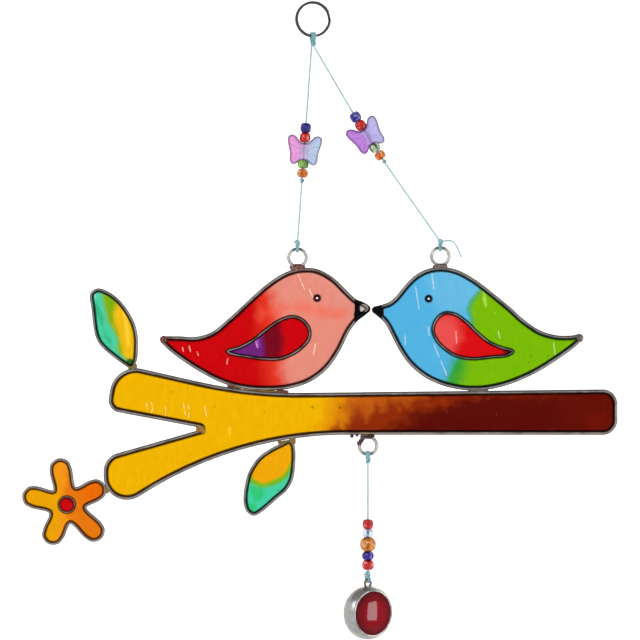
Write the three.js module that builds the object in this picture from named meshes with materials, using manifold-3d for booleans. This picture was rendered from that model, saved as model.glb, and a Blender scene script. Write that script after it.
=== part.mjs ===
// A resin suncatcher: two birds beak to beak on a forked branch with two leaves and a flower. It hangs
// from a split ring on two beaded cords, and a cabochon drop hangs below it on a third cord.
// Millimetres, +Z up, seen from -Y. The origin is the inner top of the split ring, where a hook bears.
// A flat outline is a list of [along, up] in the plane of the birds, as shares of its own length.

import * as THREE from "three";
import { mergeVertices } from "three/addons/utils/BufferGeometryUtils.js";
import Module from "manifold-3d";

// Clearances
const SEAT_CLEARANCE = 0.2; // between two pieces that touch, such as the resin and its wire
const WELD_CLEARANCE = 0.23; // between a weld bead and the wire that it joins its own wire to
const BORE_CLEARANCE = 0.2; // all round a cord in a bead, and round a wire in a knot
const CORD_CLEARANCE = 0.3; // between the end of a cord and its knot

// Wires and resin
const BIRD_WIRE = 1.8;
const BRANCH_WIRE = 1.8;
const WING_WIRE = 1.4;
const LEAF_WIRE = 1.5;
const FLOWER_WIRE = 1.4;
const LOOP_WIRE = 1.3;
const EYE_WIRE = 0.8;
const CENTRE_WIRE = 1.1;
const RESIN_THICKNESS = 1.4;

// Split ring
const RING_OUTSIDE = 14.4;
const RING_ACROSS = 1.2; // the flat wire, measured towards the centre
const RING_DEEP = 0.95; // the flat wire, front to back
const RING_YAW = 12; // degrees
const RING_TURNS = 1.86; // the wire's ends stop short of the step between its two turns
const RING_STEP_SHARE = 0.045; // half the length of that step, as a share of the wire

// Branch
const BRANCH_LENGTH = 203.7;
const BRANCH_DROP = 154.9; // top of the branch's right end below the origin
const BRANCH_RIGHT = 120.8; // right end of the branch from the origin

// Birds
const RED_BIRD_LENGTH = 82.2;
const BLUE_BIRD_LENGTH = 82.8;
const RED_WING_LENGTH = 32.6;
const BLUE_WING_LENGTH = 31.9;
const RED_BEAK = 5.6;
const BLUE_BEAK = 3.9;
const BEAK_GAP = 0.4; // open space between the two beaks
const EYE_OUTSIDE = 3.2;
const HANGING_LOOP_OUTSIDE = 8.2;

// Leaves and flower
const UPPER_LEAF_LENGTH = 30.6;
const LOWER_LEAF_LENGTH = 28.9;
const FLOWER_RADIUS = 13.6; // mean distance of the petal tips' own centres from the flower's centre
const PETAL_RADIUS = 3.8;
const NOTCH_RADIUS = 7.2; // distance of the notches between the petals from the flower's centre
const CENTRE_OUTSIDE = 7.4;

// Cords, knots and beads
const CORD = 0.75;
const CORD_SPREAD = 1.15; // between the two cords where they leave the ring's knot
const RIGHT_CORD_SAG = 1.5; // how far the beads pull the slanting cord off its straight line
const SAG_SHARE = 0.8; // how far down the bead string they pull hardest
const KNOT_WIDTH = 2.3;
const KNOT_HEIGHT = 2.9;
const STOPPER_OUTSIDE = 1.9;
const STOPPER_LENGTH = 1.8;
const STRING_TO_STOPPER = 53.5; // along the cord, from its top to the knot under the beads
const BEAD_OUTSIDE = 4.3;
const BEAD_LENGTH = 3.7;
const FLAT_BEAD_LENGTH = 3.2;
const BUTTERFLY_SPAN = 13.6;
const BUTTERFLY_THICKNESS = 3.6;
const BUTTERFLY_BEVEL = 0.9;
const KNOT_TAIL = 8.5;

// Drop
const DROP_CORD = 45.8; // between the middles of its two knots
const AMBER_BEAD_OUTSIDE = 6.4;
const AMBER_BEAD_LENGTH = 5.6;
const DISC_BEAD_OUTSIDE = 4.8;
const CLEAR_BEAD_LENGTH = 3;
const BEZEL_OUTSIDE = 21.4;
const BEZEL_EDGE = 18.6; // across the band's two rims
const BEZEL_DEPTH = 7.6;
const BEZEL_WALL = 0.6;
const BAND_PROFILE = [-1, -0.65, 0, 0.65, 1]; // places of the band's corners, as shares of half its depth
const CABOCHON_DOME = 1.3; // height of each dome above the rim of the band
const DOME_PROFILE = [0, 0.45, 0.8, 1]; // places of the dome's corners, as shares of its radius
const DROP_LOOP_OUTSIDE = 3.8;
const DROP_LOOP_WIRE = 0.9;
const DROP_LOOP_SINK = 0.9; // how far the loop is let into the band
const DROP_YAW = 35; // degrees

// How finely curves are drawn
const DENSE_STEP = 0.5;
const WIRE_TOLERANCE = 0.16; // largest distance of a wire's flat stretch from its true curve
const WIRE_SIDES = 6;
const CORD_SIDES = 8;
const LOOP_SEGMENTS = 12;
const BEAD_SEGMENTS = 8;
const KNOT_SEGMENTS = 6;
const WRAP_SEGMENTS = 8;
const EYE_SEGMENTS = 9;
const BEZEL_SEGMENTS = 18;
const WELD_SEGMENTS = 7;
const RING_STATIONS_A_TURN = 22;
const MERGE_TOLERANCE = 1e-4;
const LEAST_ARC_STEPS = 4;
const INSET_SLACK = 0.02;
const SLIDE_HALVINGS = 16;
const MITRE_LIMIT = 1.5;
const KEEP_OFF_SCALE = 1.05;
const TAIL_STEPS = 8;
const CORD_STEPS = 18;
const RIGHT_CORD_STEPS = 20;
const DROP_CORD_STEPS = 11;

// The branch is straight runs joined by bends: [along, up, radius of the bend], from its right end.
const BRANCH_BENDS = [
  [0, 0, 0.0245],
  [-0.716, -0.0082, 0.94],
  [-0.9786, 0.051, 0.047],
  [-0.9935, -0.0328, 0.0202],
  [-0.7874, -0.0717, 0.0067],
  [-1, -0.1323, 0.0326],
  [-1, -0.2407, 0.0412],
  [-0.7387, -0.0805, 0.75],
  [-0.0004, -0.0807, 0.0245],
];

// Each bird runs from its beak over the back to the tail, and along the belly to the chin.
const RED_BIRD_SHAPE = [
  [0, 0], [0.024, 0.02], [0.065, 0.037], [0.114, 0.082], [0.177, 0.142], [0.255, 0.183], [0.333, 0.186],
  [0.406, 0.164], [0.499, 0.102], [0.664, -0.048], [0.761, -0.125], [0.844, -0.148], [0.927, -0.145],
  [1, -0.15], [0.976, -0.182], [0.869, -0.264], [0.718, -0.347], [0.611, -0.378], [0.499, -0.387],
  [0.387, -0.378], [0.289, -0.346], [0.211, -0.288], [0.153, -0.208], [0.097, -0.099], [0.06, -0.052],
  [0.019, -0.02],
];
const BLUE_BIRD_SHAPE = [
  [0, 0], [0.04, 0.013], [0.081, 0.028], [0.117, 0.059], [0.156, 0.107], [0.199, 0.151], [0.252, 0.182],
  [0.32, 0.195], [0.392, 0.184], [0.474, 0.143], [0.643, 0.011], [0.726, -0.062], [0.803, -0.112],
  [0.88, -0.134], [0.948, -0.136], [1, -0.132], [0.977, -0.161], [0.827, -0.268], [0.73, -0.32],
  [0.629, -0.358], [0.528, -0.378], [0.431, -0.377], [0.339, -0.357], [0.257, -0.321], [0.185, -0.263],
  [0.136, -0.197], [0.059, -0.055], [0.022, -0.021],
];

// Each wing runs from its pointed tip over the top towards the breast and back below.
const RED_WING_SHAPE = [
  [0, 0], [0.159, 0.054], [0.319, 0.142], [0.49, 0.277], [0.65, 0.382], [0.803, 0.424], [0.925, 0.376],
  [1, 0.271], [0.995, 0.154], [0.907, 0.047], [0.797, -0.029], [0.637, -0.089], [0.441, -0.091],
  [0.221, -0.061], [0.049, -0.029],
];
const BLUE_WING_SHAPE = [
  [0, 0], [0.15, 0.05], [0.301, 0.118], [0.451, 0.241], [0.589, 0.376], [0.727, 0.466], [0.858, 0.479],
  [0.959, 0.397], [1, 0.266], [0.946, 0.134], [0.827, 0.015], [0.689, -0.06], [0.514, -0.09],
  [0.276, -0.07], [0.063, -0.043],
];

// Each leaf starts at the end that is welded to the branch.
const UPPER_LEAF_SHAPE = [
  [0, 0], [-0.092, 0.048], [-0.391, 0.297], [-0.454, 0.422], [-0.499, 0.749], [-0.516, 0.952],
  [-0.438, 1], [-0.314, 0.959], [-0.183, 0.86], [-0.072, 0.725], [0.01, 0.573], [0.054, 0.403],
  [0.052, 0.148], [0.033, 0.056],
];
const LOWER_LEAF_SHAPE = [
  [0, 0], [0.048, -0.047], [0.062, -0.269], [0.03, -0.511], [-0.046, -0.651], [-0.177, -0.767],
  [-0.406, -0.961], [-0.492, -1], [-0.568, -0.947], [-0.604, -0.809], [-0.557, -0.49], [-0.489, -0.345],
  [-0.392, -0.224], [-0.267, -0.133], [-0.08, -0.037],
];

// Petals of the flower: [direction in degrees, reach as a share of the flower's radius].
const PETALS = [[26.6, 0.93], [100.1, 1.05], [167.3, 1.01], [245, 0.95], [315.6, 1.1]];
const PETAL_TIP_ANGLES = [-95, -50, 0, 50, 95];

// Right half of a butterfly bead, from the top of its body down to the bottom, as shares of its span.
const BUTTERFLY_HALF = [
  [0, 0.25], [0.13, 0.24], [0.22, 0.31], [0.33, 0.42], [0.42, 0.44], [0.5, 0.38], [0.48, 0.26],
  [0.42, 0.1], [0.37, -0.03], [0.37, -0.15], [0.37, -0.28], [0.32, -0.37], [0.25, -0.37], [0.19, -0.31],
  [0.13, -0.25], [0, -0.25],
];

// Where the pieces stand on the branch, along its length from the right end.
const RED_BIRD_ALONG = -0.484;
const UPPER_LEAF_ALONG = -0.949;
const LOWER_LEAF_ALONG = -0.64;
const BRANCH_LOOP_ALONG = -0.4852;
const FLOWER_UP = -0.222;

// How far a bird's weld goes into each of the two wires that it joins, as a share of its wire.
const WELD_BITE = 0.2;

// Half sizes of the weld beads as shares of their wire: along X, front to back, and up.
const BIRD_WELD = [0.9, 0.45, 0.5];
const LOOP_WELD = [1.9, 0.68, 0.78];
const TIP_WELD = [0.8, 0.5, 0.55];
const BROAD_WELD = [1.5, 0.55, 0.75];
const FLOWER_WELD = [0.7, 0.6, 1.4];

// A turned bead's end faces and the straight part of its side, as shares of its wall and its length.
const BEAD_SHOULDER = 0.62;
const BEAD_BELLY = 0.4;

// The loose end of the right cord, as shares of its own reach: [to the side, up].
const TAIL_SHAPE = [[0, 0], [0.3, 0.06], [0.58, 0.03], [0.76, -0.18], [0.88, -0.45], [1, -0.72]];

const STEEL = { color: 0x4a4844, metalness: 0.95, roughness: 0.35 };
const PEWTER = { color: 0x8f8d8a, metalness: 0.9, roughness: 0.42 };
const CORD_COLOUR = { color: 0xb0c4c4, metalness: 0, roughness: 0.8 };
const KNOT_COLOUR = { color: 0x5a969b, metalness: 0, roughness: 0.8 };
const BLACK = { color: 0x0c0b0e, metalness: 0, roughness: 0.35 };

const UP = new THREE.Vector2(0, 1);
const DOWN = new THREE.Vector2(0, -1);
const RIGHT = new THREE.Vector2(1, 0);
const UP_3D = new THREE.Vector3(0, 0, 1);

const wasm = await Module();
wasm.setup();

const suncatcher = new THREE.Group();
suncatcher.name = "suncatcher";

// A resin of one colour, clear enough to see light through.
function resin(color) {
  return { color, metalness: 0, roughness: 0.08, transparent: true, opacity: 0.8 };
}

// Hangs one named piece in the group.
function add(name, geometry, look) {
  const mesh = new THREE.Mesh(geometry, new THREE.MeshStandardMaterial(look));
  mesh.name = name;
  suncatcher.add(mesh);
  return mesh;
}

// Solids for joining and cutting.
function solidOf(geometry) {
  const bare = geometry.clone();
  bare.deleteAttribute("normal");
  bare.deleteAttribute("uv");
  const merged = mergeVertices(bare, MERGE_TOLERANCE);
  const vertProperties = merged.getAttribute("position").array;
  const triVerts = new Uint32Array(merged.index.array);
  return new wasm.Manifold(new wasm.Mesh({ numProp: 3, vertProperties, triVerts }));
}

function geometryOf(solid) {
  const mesh = solid.getMesh();
  const geometry = new THREE.BufferGeometry();
  geometry.setAttribute("position", new THREE.BufferAttribute(new Float32Array(mesh.vertProperties), 3));
  geometry.setIndex(new THREE.BufferAttribute(new Uint32Array(mesh.triVerts), 1));
  geometry.computeVertexNormals();
  return geometry;
}

function joined(geometries) {
  return geometryOf(geometries.map(solidOf).reduce((whole, next) => whole.add(next)));
}

// A closed smooth curve through the points, as dense points with equal steps, counter-clockwise.
function smooth(points) {
  const through = points.map((p) => new THREE.Vector3(p.x, p.y, 0));
  const curve = new THREE.CatmullRomCurve3(through, true, "centripetal");
  const count = Math.ceil(curve.getLength() / DENSE_STEP);
  const dense = curve.getSpacedPoints(count).slice(0, count).map((p) => new THREE.Vector2(p.x, p.y));
  return THREE.ShapeUtils.isClockWise(dense) ? dense.reverse() : dense;
}

// Straight runs that would meet at the corners, joined by an arc of the corner's own radius.
function bent(corners) {
  const dense = [];
  corners.forEach(({ point, radius }, index) => {
    const before = corners[(index + corners.length - 1) % corners.length].point;
    const after = corners[(index + 1) % corners.length].point;
    const back = before.clone().sub(point).normalize();
    const on = after.clone().sub(point).normalize();
    const half = Math.acos(back.dot(on)) / 2;
    const bisector = back.clone().add(on).normalize();
    const centre = point.clone().addScaledVector(bisector, radius / Math.sin(half));
    const start = point.clone().addScaledVector(back, radius / Math.tan(half)).sub(centre);
    const turn = (Math.PI - 2 * half) * Math.sign(back.y * on.x - back.x * on.y);
    const steps = Math.max(LEAST_ARC_STEPS, Math.ceil((Math.abs(turn) * radius) / DENSE_STEP));
    for (let step = 0; step <= steps; step += 1) {
      const spoke = start.clone().rotateAround(new THREE.Vector2(), (turn * step) / steps);
      dense.push(spoke.add(centre));
    }
  });
  return dense;
}

// The point of a straight stretch that is nearest to a point.
function footOn(point, from, to) {
  const run = to.clone().sub(from);
  const share = point.clone().sub(from).dot(run) / Math.max(run.lengthSq(), Number.EPSILON);
  return from.clone().addScaledVector(run, THREE.MathUtils.clamp(share, 0, 1));
}

function nearestOn(point, outline) {
  const feet = outline.map((from, i) => footOn(point, from, outline[(i + 1) % outline.length]));
  return feet.reduce((best, foot) => (foot.distanceTo(point) < best.distanceTo(point) ? foot : best));
}

function distanceToOutline(point, outline) {
  return nearestOn(point, outline).distanceTo(point);
}

// The fewest stations that keep each flat stretch within the tolerance of the dense outline.
function thin(dense, tolerance = WIRE_TOLERANCE) {
  const kept = [dense[0]];
  let start = 0;
  for (let end = 2; end <= dense.length; end += 1) {
    const to = dense[end % dense.length];
    const between = dense.slice(start + 1, end);
    if (between.some((point) => footOn(point, dense[start], to).distanceTo(point) > tolerance)) {
      start = end - 1;
      kept.push(dense[start]);
    }
  }
  return kept;
}

// The outline moved sideways by a distance, inwards where it is positive, without its crossed corners.
function inset(dense, distance) {
  const count = dense.length;
  const moved = dense.map((here, i) => {
    const along = dense[(i + 1) % count].clone().sub(dense[(i + count - 1) % count]).normalize();
    return new THREE.Vector2(here.x - along.y * distance, here.y + along.x * distance);
  });
  return moved.filter((point) => distanceToOutline(point, dense) > Math.abs(distance) - INSET_SLACK);
}

// The part of an outline on one side of an upright line.
function clip(points, x, keepRight) {
  const inside = (p) => (keepRight ? p.x >= x : p.x <= x);
  const kept = [];
  points.forEach((here, i) => {
    const next = points[(i + 1) % points.length];
    if (inside(here)) {
      kept.push(here);
    }
    if (inside(here) !== inside(next)) {
      kept.push(here.clone().lerp(next, (x - here.x) / (next.x - here.x)));
    }
  });
  return kept;
}

function shifted(points, shift) {
  return points.map((point) => point.clone().add(shift));
}

// A ring of points.
function circle(centre, radius, count) {
  const spoke = new THREE.Vector2(radius, 0);
  const turn = (2 * Math.PI) / count;
  const origin = new THREE.Vector2();
  return Array.from({ length: count }, (_, i) => spoke.clone().rotateAround(origin, i * turn).add(centre));
}

function polar(degrees, radius) {
  const angle = THREE.MathUtils.degToRad(degrees);
  return new THREE.Vector2(Math.cos(angle), Math.sin(angle)).multiplyScalar(radius);
}

// The slide that brings a moving outline to a distance from a fixed one, along a direction.
function slideOnto(moving, fixed, direction, distance) {
  const reach = (points) => points.map((p) => p.dot(direction));
  const gapAt = (slide) => {
    const there = shifted(moving, direction.clone().multiplyScalar(slide));
    const ofMoving = there.map((p) => distanceToOutline(p, fixed));
    const ofFixed = fixed.map((p) => distanceToOutline(p, there));
    return Math.min(...ofMoving, ...ofFixed);
  };
  let clear = Math.min(...reach(fixed)) - Math.max(...reach(moving)) - distance;
  while (gapAt(clear + DENSE_STEP) > distance) {
    clear += DENSE_STEP;
  }
  let touching = clear + DENSE_STEP;
  for (let halving = 0; halving < SLIDE_HALVINGS; halving += 1) {
    const middle = (clear + touching) / 2;
    if (gapAt(middle) > distance) {
      clear = middle;
    } else {
      touching = middle;
    }
  }
  return direction.clone().multiplyScalar(clear);
}

// The middle of the narrowest place between two outlines.
function contact(moving, fixed) {
  const distances = moving.map((p) => distanceToOutline(p, fixed));
  const near = moving[distances.indexOf(Math.min(...distances))];
  return near.clone().lerp(nearestOn(near, fixed), 0.5);
}

// Heights at which an outline crosses an upright line, lowest first.
function heightsAt(outline, x) {
  const heights = [];
  outline.forEach((here, i) => {
    const next = outline[(i + 1) % outline.length];
    if (here.x <= x !== next.x <= x) {
      heights.push(here.clone().lerp(next, (x - here.x) / (next.x - here.x)).y);
    }
  });
  return heights.sort((a, b) => a - b);
}

// A closed round wire along an outline: a ring of points at each station, mitred in the bends.
function closedWire(stations, diameter) {
  const count = stations.length;
  const vertices = [];
  const faces = [];
  stations.forEach((here, i) => {
    const arriving = here.clone().sub(stations[(i + count - 1) % count]).normalize();
    const leaving = stations[(i + 1) % count].clone().sub(here).normalize();
    const along = arriving.clone().add(leaving).normalize();
    const stretch = Math.min(1 / along.dot(leaving), MITRE_LIMIT);
    for (let side = 0; side < WIRE_SIDES; side += 1) {
      const angle = (2 * Math.PI * side) / WIRE_SIDES;
      const out = (Math.cos(angle) * stretch * diameter) / 2;
      vertices.push(here.x + along.y * out, (Math.sin(angle) * diameter) / 2, here.y - along.x * out);
      const a = i * WIRE_SIDES + side;
      const b = i * WIRE_SIDES + ((side + 1) % WIRE_SIDES);
      const c = ((i + 1) % count) * WIRE_SIDES + side;
      const d = ((i + 1) % count) * WIRE_SIDES + ((side + 1) % WIRE_SIDES);
      faces.push(a, b, d, a, d, c);
    }
  });
  const geometry = new THREE.BufferGeometry();
  geometry.setAttribute("position", new THREE.Float32BufferAttribute(vertices, 3));
  geometry.setIndex(faces);
  geometry.computeVertexNormals();
  return geometry;
}

// A flat plate of resin, with openings, centred in the plane of the birds.
function plate(outline, openings = []) {
  const shape = new THREE.Shape(outline);
  shape.holes = openings.map((opening) => new THREE.Path(opening));
  const geometry = new THREE.ExtrudeGeometry(shape, { depth: RESIN_THICKNESS, bevelEnabled: false });
  return geometry.translate(0, 0, -RESIN_THICKNESS / 2).rotateX(Math.PI / 2);
}

// The filling of a wire outline, clear of the wire.
function filling(dense, wire) {
  return thin(inset(dense, wire / 2 + SEAT_CLEARANCE));
}

// The opening that a wire outline needs in the resin around it.
function openingFor(dense, wire) {
  return thin(inset(dense, -(wire / 2 + SEAT_CLEARANCE)));
}

// A weld bead on a wire.
function weld(point, shares, wire) {
  const geometry = new THREE.SphereGeometry(1, WELD_SEGMENTS, WELD_SEGMENTS - 2);
  return geometry.scale(...shares.map((share) => share * wire)).translate(point.x, 0, point.y);
}

// A wire with its weld beads, which stop short of the wire that they join it to.
function weldedWire(wire, welds, neighbour, neighbourWire) {
  const keepOff = solidOf(closedWire(neighbour, neighbourWire + 2 * WELD_CLEARANCE));
  const beads = welds.map((bead) => solidOf(bead).subtract(keepOff));
  return geometryOf(beads.reduce((whole, bead) => whole.add(bead), solidOf(wire)));
}

// Split ring: two turns of flat wire side by side, with one step from the front turn to the back one.
class SplitRingPath extends THREE.Curve {
  constructor() {
    super();
    this.radius = (RING_OUTSIDE - RING_ACROSS) / 2;
    this.pitch = RING_DEEP + SEAT_CLEARANCE;
  }

  // The middle of the wire, where it steps back, lies at the ring's right side.
  angle(share) {
    return RING_TURNS * (share - 0.5) * 2 * Math.PI;
  }

  getPoint(share) {
    const step = THREE.MathUtils.smoothstep(share, 0.5 - RING_STEP_SHARE, 0.5 + RING_STEP_SHARE);
    const angle = this.angle(share);
    return new THREE.Vector3(
      this.radius * Math.cos(angle),
      (step - 0.5) * this.pitch,
      this.radius * Math.sin(angle),
    );
  }

  getSpacedPoints(divisions) {
    return Array.from({ length: divisions + 1 }, (_, i) => this.getPoint(i / divisions));
  }

  // The flat wire keeps one side towards the ring's centre all the way.
  computeFrenetFrames(segments) {
    const frames = { tangents: [], normals: [], binormals: [] };
    for (let i = 0; i <= segments; i += 1) {
      const angle = this.angle(i / segments);
      frames.tangents.push(new THREE.Vector3(-Math.sin(angle), 0, Math.cos(angle)));
      frames.normals.push(new THREE.Vector3(Math.cos(angle), 0, Math.sin(angle)));
      frames.binormals.push(new THREE.Vector3(0, 1, 0));
    }
    return frames;
  }
}

const ringInside = RING_OUTSIDE / 2 - RING_ACROSS;
const ringCentre = new THREE.Vector3(0, 0, -ringInside);

function buildRing() {
  const path = new SplitRingPath();
  const across = RING_ACROSS / 2;
  const deep = RING_DEEP / 2;
  const corners = [[-across, -deep], [across, -deep], [across, deep], [-across, deep]];
  const section = new THREE.Shape(corners.map(([x, y]) => new THREE.Vector2(x, y)));
  const steps = Math.round(RING_TURNS * RING_STATIONS_A_TURN);
  const geometry = new THREE.ExtrudeGeometry(section, { steps, extrudePath: path });
  const ring = add("hanging_ring", geometry, STEEL);
  ring.position.copy(ringCentre);
  ring.rotation.z = THREE.MathUtils.degToRad(RING_YAW);
}

buildRing();

// Branch
const branchStart = new THREE.Vector2(BRANCH_RIGHT, -BRANCH_DROP);
const alongBranch = (share) => BRANCH_RIGHT + share * BRANCH_LENGTH;
const branchDense = bent(
  BRANCH_BENDS.map(([along, up, radius]) => ({
    point: new THREE.Vector2(along, up).multiplyScalar(BRANCH_LENGTH).add(branchStart),
    radius: radius * BRANCH_LENGTH,
  })),
);
const branchWire = thin(branchDense);
add("branch_outline", closedWire(branchWire, BRANCH_WIRE), PEWTER);
add("branch_resin", plate(filling(branchDense, BRANCH_WIRE)), resin(0xc98a10));

// A small loop of wire, seated on an outline from a direction and welded there.
function buildLoop(name, x, onto, ontoWire, direction) {
  const radius = (HANGING_LOOP_OUTSIDE - LOOP_WIRE) / 2;
  const ring = circle(new THREE.Vector2(x, 0), radius, LOOP_SEGMENTS);
  const slide = slideOnto(ring, onto, direction, (LOOP_WIRE + ontoWire) / 2 + SEAT_CLEARANCE);
  const seated = shifted(ring, slide);
  const bead = weld(contact(seated, onto), LOOP_WELD, LOOP_WIRE);
  add(name, weldedWire(closedWire(seated, LOOP_WIRE), [bead], onto, ontoWire), PEWTER);
  return new THREE.Vector3(x, 0, slide.y - direction.y * radius);
}

// Birds: each shape runs from the beak to the tail, and facing is the side of the tail.
const BIRDS = [
  {
    name: "red_bird",
    facing: -1,
    length: RED_BIRD_LENGTH,
    shape: RED_BIRD_SHAPE,
    wing: { length: RED_WING_LENGTH, shape: RED_WING_SHAPE, tip: [0.6836, -0.2093] },
    eye: [0.2507, 0.0506],
    beak: RED_BEAK,
    loopAlong: 0.3457,
    weldsAlong: [0.665, 0.42],
    colours: [0xd8372c, 0xb0101c],
  },
  {
    name: "blue_bird",
    facing: 1,
    length: BLUE_BIRD_LENGTH,
    shape: BLUE_BIRD_SHAPE,
    wing: { length: BLUE_WING_LENGTH, shape: BLUE_WING_SHAPE, tip: [0.6676, -0.2029] },
    eye: [0.2633, 0.0517],
    beak: BLUE_BEAK,
    loopAlong: 0.3203,
    weldsAlong: [0.5116],
    colours: [0x4fb0cf, 0xe0202c],
  },
];

const redBeakX = alongBranch(RED_BIRD_ALONG);

function buildBird(bird) {
  const { name, facing, length, wing } = bird;
  const beakX = facing < 0 ? redBeakX : redBeakX + BIRD_WIRE + BEAK_GAP;
  const placed = ([along, up], size = length) => new THREE.Vector2(facing * along, up).multiplyScalar(size);
  const start = new THREE.Vector2(beakX, 0);
  const rough = shifted(smooth(bird.shape.map((share) => placed(share))), start);
  const slide = slideOnto(thin(rough), branchWire, DOWN, (BIRD_WIRE + BRANCH_WIRE) / 2 + SEAT_CLEARANCE);
  const beak = start.clone().add(slide);
  const body = shifted(rough, slide);
  const bodyWire = thin(body);
  const welds = bird.weldsAlong.map((along) => {
    const x = beak.x + facing * along * length;
    const under = heightsAt(bodyWire, x)[0];
    const over = heightsAt(branchWire, x).at(-1);
    const [wide, thick, high] = BIRD_WELD;
    const reach = (under - over - BIRD_WIRE) / (2 * BIRD_WIRE) + WELD_BITE;
    const at = new THREE.Vector2(x, (under + over) / 2);
    return weld(at, [wide, thick, Math.max(high, reach)], BIRD_WIRE);
  });
  add(`${name}_outline`, weldedWire(closedWire(bodyWire, BIRD_WIRE), welds, branchWire, BRANCH_WIRE), PEWTER);

  const wingTip = placed(wing.tip).add(beak);
  const wingPoints = wing.shape.map(([along, up]) => placed([-along, up], wing.length).add(wingTip));
  const wingDense = smooth(wingPoints);
  add(`${name}_wing_outline`, closedWire(thin(wingDense), WING_WIRE), PEWTER);
  add(`${name}_wing_resin`, plate(filling(wingDense, WING_WIRE)), resin(bird.colours[1]));

  const eyeAt = placed(bird.eye).add(beak);
  const eyeRing = circle(eyeAt, (EYE_OUTSIDE - EYE_WIRE) / 2, EYE_SEGMENTS);
  add(`${name}_eye`, closedWire(eyeRing, EYE_WIRE), PEWTER);

  const inner = inset(body, BIRD_WIRE / 2 + SEAT_CLEARANCE);
  const splitX = beak.x + facing * bird.beak;
  const tailSide = clip(inner, splitX + (facing * SEAT_CLEARANCE) / 2, facing > 0);
  const beakSide = clip(inner, splitX - (facing * SEAT_CLEARANCE) / 2, facing < 0);
  const eyeOpening = circle(eyeAt, EYE_OUTSIDE / 2 + SEAT_CLEARANCE, EYE_SEGMENTS);
  const openings = [openingFor(wingDense, WING_WIRE), eyeOpening];
  add(`${name}_resin`, plate(thin(tailSide), openings), resin(bird.colours[0]));
  add(`${name}_beak`, plate(thin(beakSide)), BLACK);

  const loopX = beak.x + facing * bird.loopAlong * length;
  return buildLoop(`${name}_loop`, loopX, bodyWire, BIRD_WIRE, DOWN);
}

const birdLoopTops = BIRDS.map(buildBird);
const branchLoopX = alongBranch(BRANCH_LOOP_ALONG);
const branchLoopBottom = buildLoop("branch_loop", branchLoopX, branchWire, BRANCH_WIRE, UP);

// Leaves
function buildLeaf(name, shape, length, along, direction, weldShares, colour) {
  const points = shape.map(([x, up]) => new THREE.Vector2(x, up).multiplyScalar(length));
  const rough = shifted(smooth(points), new THREE.Vector2(alongBranch(along), 0));
  const slide = slideOnto(thin(rough), branchWire, direction, (LEAF_WIRE + BRANCH_WIRE) / 2 + SEAT_CLEARANCE);
  const leaf = shifted(rough, slide);
  const bead = weld(contact(thin(leaf), branchWire), weldShares, LEAF_WIRE);
  const wire = closedWire(thin(leaf), LEAF_WIRE);
  add(`${name}_outline`, weldedWire(wire, [bead], branchWire, BRANCH_WIRE), PEWTER);
  add(`${name}_resin`, plate(filling(leaf, LEAF_WIRE)), resin(colour));
}

buildLeaf("upper_leaf", UPPER_LEAF_SHAPE, UPPER_LEAF_LENGTH, UPPER_LEAF_ALONG, DOWN, TIP_WELD, 0x7fc060);
buildLeaf("lower_leaf", LOWER_LEAF_SHAPE, LOWER_LEAF_LENGTH, LOWER_LEAF_ALONG, UP, BROAD_WELD, 0xb0b040);

// Flower: round petal tips, drawn in to a notch between each two petals.
function buildFlower() {
  const centre = new THREE.Vector2(0, branchStart.y + FLOWER_UP * BRANCH_LENGTH);
  const points = [];
  PETALS.forEach(([direction, reach], i) => {
    const next = PETALS[(i + 1) % PETALS.length][0] + (i + 1 === PETALS.length ? 360 : 0);
    const tip = polar(direction, reach * FLOWER_RADIUS);
    PETAL_TIP_ANGLES.forEach((angle) => points.push(polar(direction + angle, PETAL_RADIUS).add(tip)));
    points.push(polar((direction + next) / 2, NOTCH_RADIUS));
  });
  const rough = shifted(smooth(points), centre);
  const slide = slideOnto(thin(rough), branchWire, RIGHT, (FLOWER_WIRE + BRANCH_WIRE) / 2 + SEAT_CLEARANCE);
  const flower = shifted(rough, slide);
  centre.add(slide);
  const wire = closedWire(thin(flower), FLOWER_WIRE);
  const bead = weld(contact(thin(flower), branchWire), FLOWER_WELD, FLOWER_WIRE);
  add("flower_outline", weldedWire(wire, [bead], branchWire, BRANCH_WIRE), PEWTER);
  const ring = circle(centre, (CENTRE_OUTSIDE - CENTRE_WIRE) / 2, LOOP_SEGMENTS);
  add("flower_centre_ring", closedWire(ring, CENTRE_WIRE), PEWTER);
  const opening = circle(centre, CENTRE_OUTSIDE / 2 + SEAT_CLEARANCE, LOOP_SEGMENTS);
  add("flower_resin", plate(filling(flower, FLOWER_WIRE), [opening]), resin(0xf08a10));
  const middle = circle(centre, CENTRE_OUTSIDE / 2 - CENTRE_WIRE - SEAT_CLEARANCE, LOOP_SEGMENTS);
  add("flower_centre_resin", plate(middle), resin(0xc81020));
}

buildFlower();

// Knots: a turn of cord round a wire, and the knot itself on the side where the cord leaves.
function wrapRadius(wire) {
  return wire / 2 + BORE_CLEARANCE + CORD / 2;
}

function knotCentre(wirePoint, wire, side) {
  const away = wrapRadius(wire) + KNOT_HEIGHT / 2 - CORD / 2;
  return wirePoint.clone().addScaledVector(UP_3D, side * away);
}

function buildKnot(name, wirePoint, wire, side, yaw = 0, extras = []) {
  const wrap = new THREE.TorusGeometry(wrapRadius(wire), CORD / 2, WIRE_SIDES - 1, WRAP_SEGMENTS);
  wrap.rotateY(Math.PI / 2).rotateZ(THREE.MathUtils.degToRad(yaw));
  wrap.translate(wirePoint.x, wirePoint.y, wirePoint.z);
  const centre = knotCentre(wirePoint, wire, side);
  const blob = new THREE.SphereGeometry(1, KNOT_SEGMENTS, KNOT_SEGMENTS - 1);
  blob.rotateX(Math.PI / 2).scale(KNOT_WIDTH / 2, KNOT_WIDTH / 2, KNOT_HEIGHT / 2);
  blob.translate(centre.x, centre.y, centre.z);
  add(name, joined([wrap, blob, ...extras]), KNOT_COLOUR);
  return centre;
}

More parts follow.
